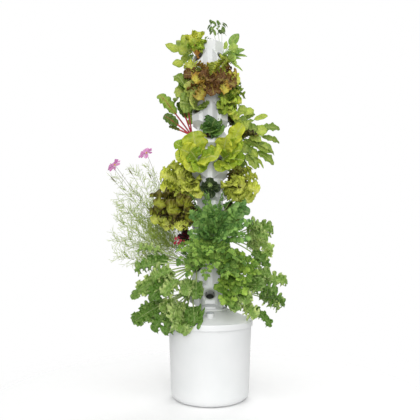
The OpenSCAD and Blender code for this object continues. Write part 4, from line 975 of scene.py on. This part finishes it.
plants = dict(
    curly_kales=[
        tuft("kale", 1, -90, 28, 2, [
            (133, 322, -50, 58), (141, 309, 0, 46), (153, 329, -100, 48), (165, 332, -150, 52),
            (182, 330, -200, 78), (195, 322, -200, 62), (174, 318, -190, 60), (150, 318, 100, 54),
            (140, 318, 120, 50)]),
        tuft("kale", 1, 90, -20, 10, [
            (288, 279, 0, 48), (286, 301, -50, 56), (272, 325, -60, 32), (255, 316, -130, 50),
            (235, 308, -200, 40), (262, 284, -150, 54), (272, 250, 40, 40), (277, 290, -100, 50),
            (247, 300, -200, 52), (281, 306, 100, 50), (270, 272, -60, 50)])],
    front_kale=[
        tuft("kale", 2, -45, -14, 8, [
            (136, 247, -30, 40), (134, 268, -100, 50), (147, 260, -50, 42), (138, 291, -140, 62),
            (131, 298, -120, 34), (151, 297, -170, 58), (164, 294, -200, 56), (196, 297, -210, 50),
            (185, 293, -220, 46), (152, 278, -160, 54)])],
    celery=[
        tuft("celery", 2, 45, -8, 30, [
            (240, 255, -150), (252, 263, -140), (256, 271, -130), (247, 277, -200), (223, 298, -220),
            (231, 300, -200), (228, 259, -220), (236, 276, -220), (243, 289, -200)])],
    cosmos=[
        tuft("cosmos", 2, -135, 38, 37, [
            (118.2, 200, 150), (118.2, 219.9, 120), (119, 180, 150), (128, 237, 100), (135, 190, 100),
            (150, 170, 80), (116.8, 240, 100), (125, 210, 120), (140, 215, 50), (152, 236, 20),
            (163, 190, 50), (145, 257, 20), (160, 225, 0), (120, 256, 50), (135, 170, 180),
            (130, 225, 200), (150, 205, 170)], flowers=[
            (115, 165, 100), (146.5, 153, 80)], buds=[
            (109.8, 163.1, 120), (110, 176, 100), (148, 172, 100), (128, 168, 140)])],
    back_plants_1=[
        tuft("kale", 1, 180, lift=36, size=0.85),
        tuft("lettuce", 2, 135)],
    parsley=[
        tuft("parsley", 3, 0, 8, 58, [
            (192.2, 197.5, -140), (206, 193.1, -130), (222.7, 194.2, -140), (243, 205, -140),
            (250, 221, -140), (247, 238, -170), (234, 229, -240), (192.7, 212.9, -190), (216, 220, -240),
            (224, 237, -260), (192, 233, -170), (207, 208, -200), (234, 211, -200), (222, 208, -210),
            (205, 230, -250), (240, 222, -200)]),
        tuft("paleParsley", 3, 0, 8, 58, [
            (180, 262, -200), (188, 273, -220), (206, 276, -255), (226, 275, -250), (243, 262, -200),
            (180, 249, -180), (236, 273, -220), (197, 262, -260), (216, 264, -270), (233, 256, -250),
            (190, 250, -240), (208, 252, -270), (222, 250, -270)])],
    beet=[
        tuft("beet", 3, -90, 18, 42, [
            (183, 226, -50, 28), (178, 236, -50, 26), (190, 231, -80, 28), (187, 242, -60, 24),
            (181, 245, -40, 20)]),
        tuft("blossom", 3, -90, 18, 42, [
            (178, 240, -60), (182, 243, -80)])],
    upper_kale=[
        tuft("kale", 3, 90, -4, 44, [
            (274, 229, 0, 56), (261, 226, -50, 54), (268, 237, -60, 52), (275, 250, 50, 40),
            (270, 268, 0, 44), (262, 246, 100, 50)])],
    bronze_oakleaf=[
        tuft("bronze", 4, -45, -26, 44, [
            (150, 194, -100, 70), (149, 212, -100, 75), (160, 225, -130, 75), (176, 227, -160, 70),
            (187, 218, -180, 60), (163, 192, -120, 70), (177, 199, -160, 65), (168, 210, -180, 80),
            (185, 205, -170, 60), (154, 203, -160, 75)]),
        tuft("loose", 4, -45, -26, 44, [
            (151, 221, -110, 50), (164, 228, -150, 52), (178, 229, -170, 50), (187, 212, -180, 42)])],
    sorrel=[
        tuft("sorrel", 4, 45, 20, 46, [
            (246, 202, -120, 50), (250, 212, -100, 50), (238, 206, -170, 45), (243, 217, -140, 45),
            (231, 200, -150, 40), (248, 224, -80, 40)])],
    back_plants_2=[
        tuft("lettuce", 3, 180),
        tuft("bronze", 4, 135),
        tuft("lettuce", 4, -135, lift=42, size=0.7)],
    tatsoi=[
        tuft("tatsoi", 5, 0, lift=34)],
    loose_lettuces=[
        tuft("loose", 5, -90, 3, 50, [
            (160, 174, -20, 75), (162, 190, -50, 80), (170, 163, 0, 70), (184, 162, -30, 60),
            (178, 176, -100, 80), (190, 190, -120, 70), (181, 201, -130, 75), (198, 197, -130, 55),
            (169, 198, -80, 70), (195, 178, -120, 55), (172, 180, 100, 70)]),
        tuft("loose", 5, 90, -3, 50, [
            (258, 176, 0, 60), (259, 191, -40, 75), (252, 167, 0, 55), (241, 166, -30, 50),
            (230, 185, -110, 65), (238, 200, -120, 70), (250, 202, -100, 70), (244, 186, -120, 70),
            (248, 182, 100, 70)]),
        tuft("fewBronze", 5, 90, -3, 50, [
            (243, 168, -50, 50), (246, 185, -90, 50), (236, 172, -60, 44)])],
    butter_lettuces=[
        tuft("butter", 6, -45, 0, 62, [
            (218, 156, -195, 125), (193, 131, -120, 120), (174, 142, -80, 80), (176, 158, -120, 90),
            (188, 170, -150, 85), (200, 172, -170, 75), (181, 149, -150, 100)]),
        tuft("butter", 6, 45, 0, 62, [
            (243, 124, -150, 85), (241, 149, -170, 105), (226, 138, -170, 90), (244, 160, -130, 75),
            (221, 171, -170, 75), (232, 168, -170, 80)])],
    back_plants_3=[
        tuft("lettuce", 5, 180),
        tuft("kale", 6, 135, lift=40, size=0.7),
        tuft("lettuce", 6, -135)],
    romaine=[
        tuft("romaine", 7, 0, 0, 60, [
            (208, 120, -110, 60), (222, 121, -120, 60), (200, 126, -100, 40), (215, 118, -140, 75),
            (223, 131, -150, 55), (212, 131, -160, 60)])],
    chard=[
        tuft("chard", 7, -90, 0, 57, [
            (159, 92, 0, 62), (164, 114, -40, 50), (169, 125, -30, 24), (185, 92, -50, 55),
            (179, 100, 30, 45)])],
    arugula=[
        tuft("arugula", 7, 90, -10, 14, [
            (281, 127, 0, 40), (254, 107, 50, 36), (246, 104, 30, 34), (240, 117, -30, 40),
            (256, 112, 50, 18), (269, 114, 50, 22), (268, 130, -20, 44), (258, 128, -50, 44),
            (273, 151, -50, 42), (281, 141, 30, 30), (275, 163, -50, 38), (265, 167, -20, 16),
            (257, 168, -60, 38), (251, 175, -20, 16), (262, 140, -60, 44), (249, 124, -50, 42),
            (247, 152, -60, 42), (243, 162, -40, 34)]),
        tuft("fewBronze", 7, 90, -10, 14, [
            (254, 131, -70, 34), (259, 134, -60, 30)])],
    spinach=[
        tuft("spinach", 8, -45, -8, 62, [
            (176, 72, -60, 80), (175, 88, -90, 85), (180, 101, -120, 75), (206, 104, -130, 50),
            (197, 108, -140, 50), (188, 80, -120, 75), (190, 98, -150, 65)])],
    green_oakleaf=[
        tuft("oakleaf", 8, 45, 8, 58, [
            (240, 88, -70, 55), (242, 100, -90, 55), (238, 118, -100, 50), (226, 86, -100, 55),
            (232, 100, -140, 65), (222, 107, -140, 50), (231, 113, -130, 50)])],
    back_plants_4=[
        tuft("lettuce", 7, 180),
        tuft("bronze", 8, 135),
        tuft("basil", 8, -135)],
    maroon_oakleaf=[
        tuft("maroon", 9, 0, 0, 50, [
            (183, 72, -80, 60), (186, 88, -130, 60), (198, 98, -160, 60), (214, 93, -180, 65),
            (228, 90, -160, 60), (238, 72, -100, 60), (230, 62, -80, 60), (214, 61, -90, 60),
            (198, 62, -90, 60), (206, 76, -180, 70), (222, 78, -180, 70), (193, 78, -160, 65),
            (236, 84, -130, 55)]),
        tuft("loose", 9, 0, 0, 50, [
            (184, 61, -50, 50), (229, 54, -80, 50), (241, 79, -80, 50), (216, 61, -110, 45)])],
    curly_lettuce=[
        tuft("curly", 10, -45, -4, 64, [
            (190, 31, -60, 60), (198, 28, -60, 60), (203, 36, -70, 55), (187, 42, -90, 55),
            (196, 44, -120, 60), (203, 46, -100, 45), (193, 36, -120, 60)])],
    broad_basil=[
        tuft("broadBasil", 10, -135, 42, 56, [
            (165, 40, 40, 46), (182, 31, 40, 46), (172, 61, 20, 40), (178, 44, 30, 43),
            (187, 42, 50, 38), (176, 36, 100, 43), (180, 55, 100, 43)])],
    basil=[
        tuft("basil", 10, 45, 10, 62, [
            (240, 30, -50, 36), (226, 38, -90, 34), (245, 46, -90, 36), (248, 53, -60, 20),
            (244, 68, -80, 22), (236, 57, -120, 36), (230, 48, -140, 42), (238, 43, -110, 38)])],
    herb_sprigs=[
        tuft("sprig", 10, 135, 30, 82, [
            (210, 15.5, 90), (217, 16, 100), (222, 19, 100), (208, 33, 95)])],
    back_plants_5=[
        tuft("lettuce", 9, 180),
        tuft("lettuce", 9, -90, size=0.95),
        tuft("lettuce", 9, 90, size=0.95)],
)
triangles = 0
for name, tufts in plants.items():
    skin = Skin()
    materials = []
    for plant in tufts:
        row, turn = plant["port"]
        part = Skin()
        rng = np.random.default_rng(1000 * row + turn + 180 + len(materials))
        own = growers.get(plant["kind"], addPlain)(part, plant, rng)
        skin.join(part, len(materials))
        materials += own
    piece = skin.build(name.replace("_", "-") + "-leaves", materials)
    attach(piece, frame["nodes"][name]["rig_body"])
    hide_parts(name)
    grown = 2 * len(piece.data.polygons)
    triangles += grown
    print("grown:", name, grown, "triangles")
print("plants done:", triangles, "triangles")

# Stage, light and camera
stage = dict(floorRadius=2.2, rings=24, sides=64, hole=0.001, sink=0.0005, fade=(0.35, 1.4),
             colour=(0.94, 0.94, 0.94, 1.0), rough=0.9)
cameraSensor = 36.0
lamps = [
    # name, place, size, watts
    ("frontLamp", (0.15, -3.6, 1.4), 1.6, 68.0),
    ("keyLamp", (1.9, -2.2, 3.4), 1.8, 10.0),
    ("backLamp", (0.4, 2.4, 3.2), 2.0, 50.0),
]
lampTarget = np.array([0, 0, 0.9])
sky = dict(world=0.36, sun=1.2, sunAngle=70, sunTilt=(24, -8))


def makeFloor():
    # a round floor that thins out to nothing towards its rim, so that it runs into the white behind it
    rings, sides = stage["rings"], stage["sides"]
    r = np.linspace(stage["hole"], 1, rings)[:, None] * stage["floorRadius"]
    a = np.linspace(0, fullTurn, sides, endpoint=False)[None]
    points = np.stack([r * np.cos(a), r * np.sin(a), np.full((rings, sides), -stage["sink"])], -1)
    quads = tubeQuads(1, rings, sides)[0][:, ::-1]
    mesh = bpy.data.meshes.new("floor")
    mesh.from_pydata(points.reshape(-1, 3).tolist(), [], quads.tolist())
    floor = bpy.data.objects.new("floor", mesh)
    intoScene(floor)
    material, tree, shader = newMaterial("floorPaper")
    shader.inputs["Base Color"].default_value = stage["colour"]
    shader.inputs["Roughness"].default_value = stage["rough"]
    away = vectors(tree, "LENGTH", ownPlace(tree))
    clear = node(tree, "ShaderNodeBsdfTransparent")
    mixedSurface(tree, spread(tree, away, *stage["fade"]), shader, clear)
    mesh.materials.append(material)


def makeWorld():
    # white where the camera, gloss or glass looks, and an even soft light for the rest
    world = bpy.data.worlds.new("studio")
    world.use_nodes = True
    bpy.context.scene.world = world
    tree = world.node_tree
    background = tree.nodes["Background"]
    background.inputs["Color"].default_value = (1, 1, 1, 1)
    path = node(tree, "ShaderNodeLightPath")
    seen = maths(tree, "MAXIMUM", path.outputs["Is Camera Ray"],
                 maths(tree, "MAXIMUM", path.outputs["Is Glossy Ray"], path.outputs["Is Transmission Ray"]))
    tree.links.new(spread(tree, seen, 0, 1, sky["world"], 1.0), background.inputs["Strength"])


def newLamp(name, kind, energy):
    # one lamp in the scene
    light = bpy.data.lights.new(name, kind)
    light.energy = energy
    lamp = bpy.data.objects.new(name, light)
    intoScene(lamp)
    return lamp


def makeLamps():
    # square lamps turned to a point on the tower, and a wide soft sun from above
    for name, place, size, watts in lamps:
        lamp = newLamp(name, "AREA", watts)
        lamp.data.size = size
        lamp.location = place
        x, y, z = lampTarget - np.array(place)
        lamp.rotation_euler = (math.atan2(math.hypot(x, y), -z), 0, math.atan2(y, x) - math.pi / 2)
    sun = newLamp("topLight", "SUN", sky["sun"])
    sun.data.angle = math.radians(sky["sunAngle"])
    sun.rotation_euler = (*(math.radians(turn) for turn in sky["sunTilt"]), 0)


def makeCamera():
    # the photo's camera: focal length over picture width as in pixels, level but for a slight look up
    data = bpy.data.cameras.new("camera")
    data.sensor_width = cameraSensor
    data.lens = photo["focal"] / photo["pixels"] * data.sensor_width
    camera = bpy.data.objects.new("camera", data)
    camera.location = (0, -photo["distance"], photo["height"])
    camera.rotation_euler = (math.radians(90 + photo["lookUp"]), 0, 0)
    intoScene(camera)
    bpy.context.scene.camera = camera


makeFloor()
makeWorld()
makeLamps()
makeCamera()
bpy.context.scene.view_settings.view_transform = "Standard"
print("stage, light and camera set")
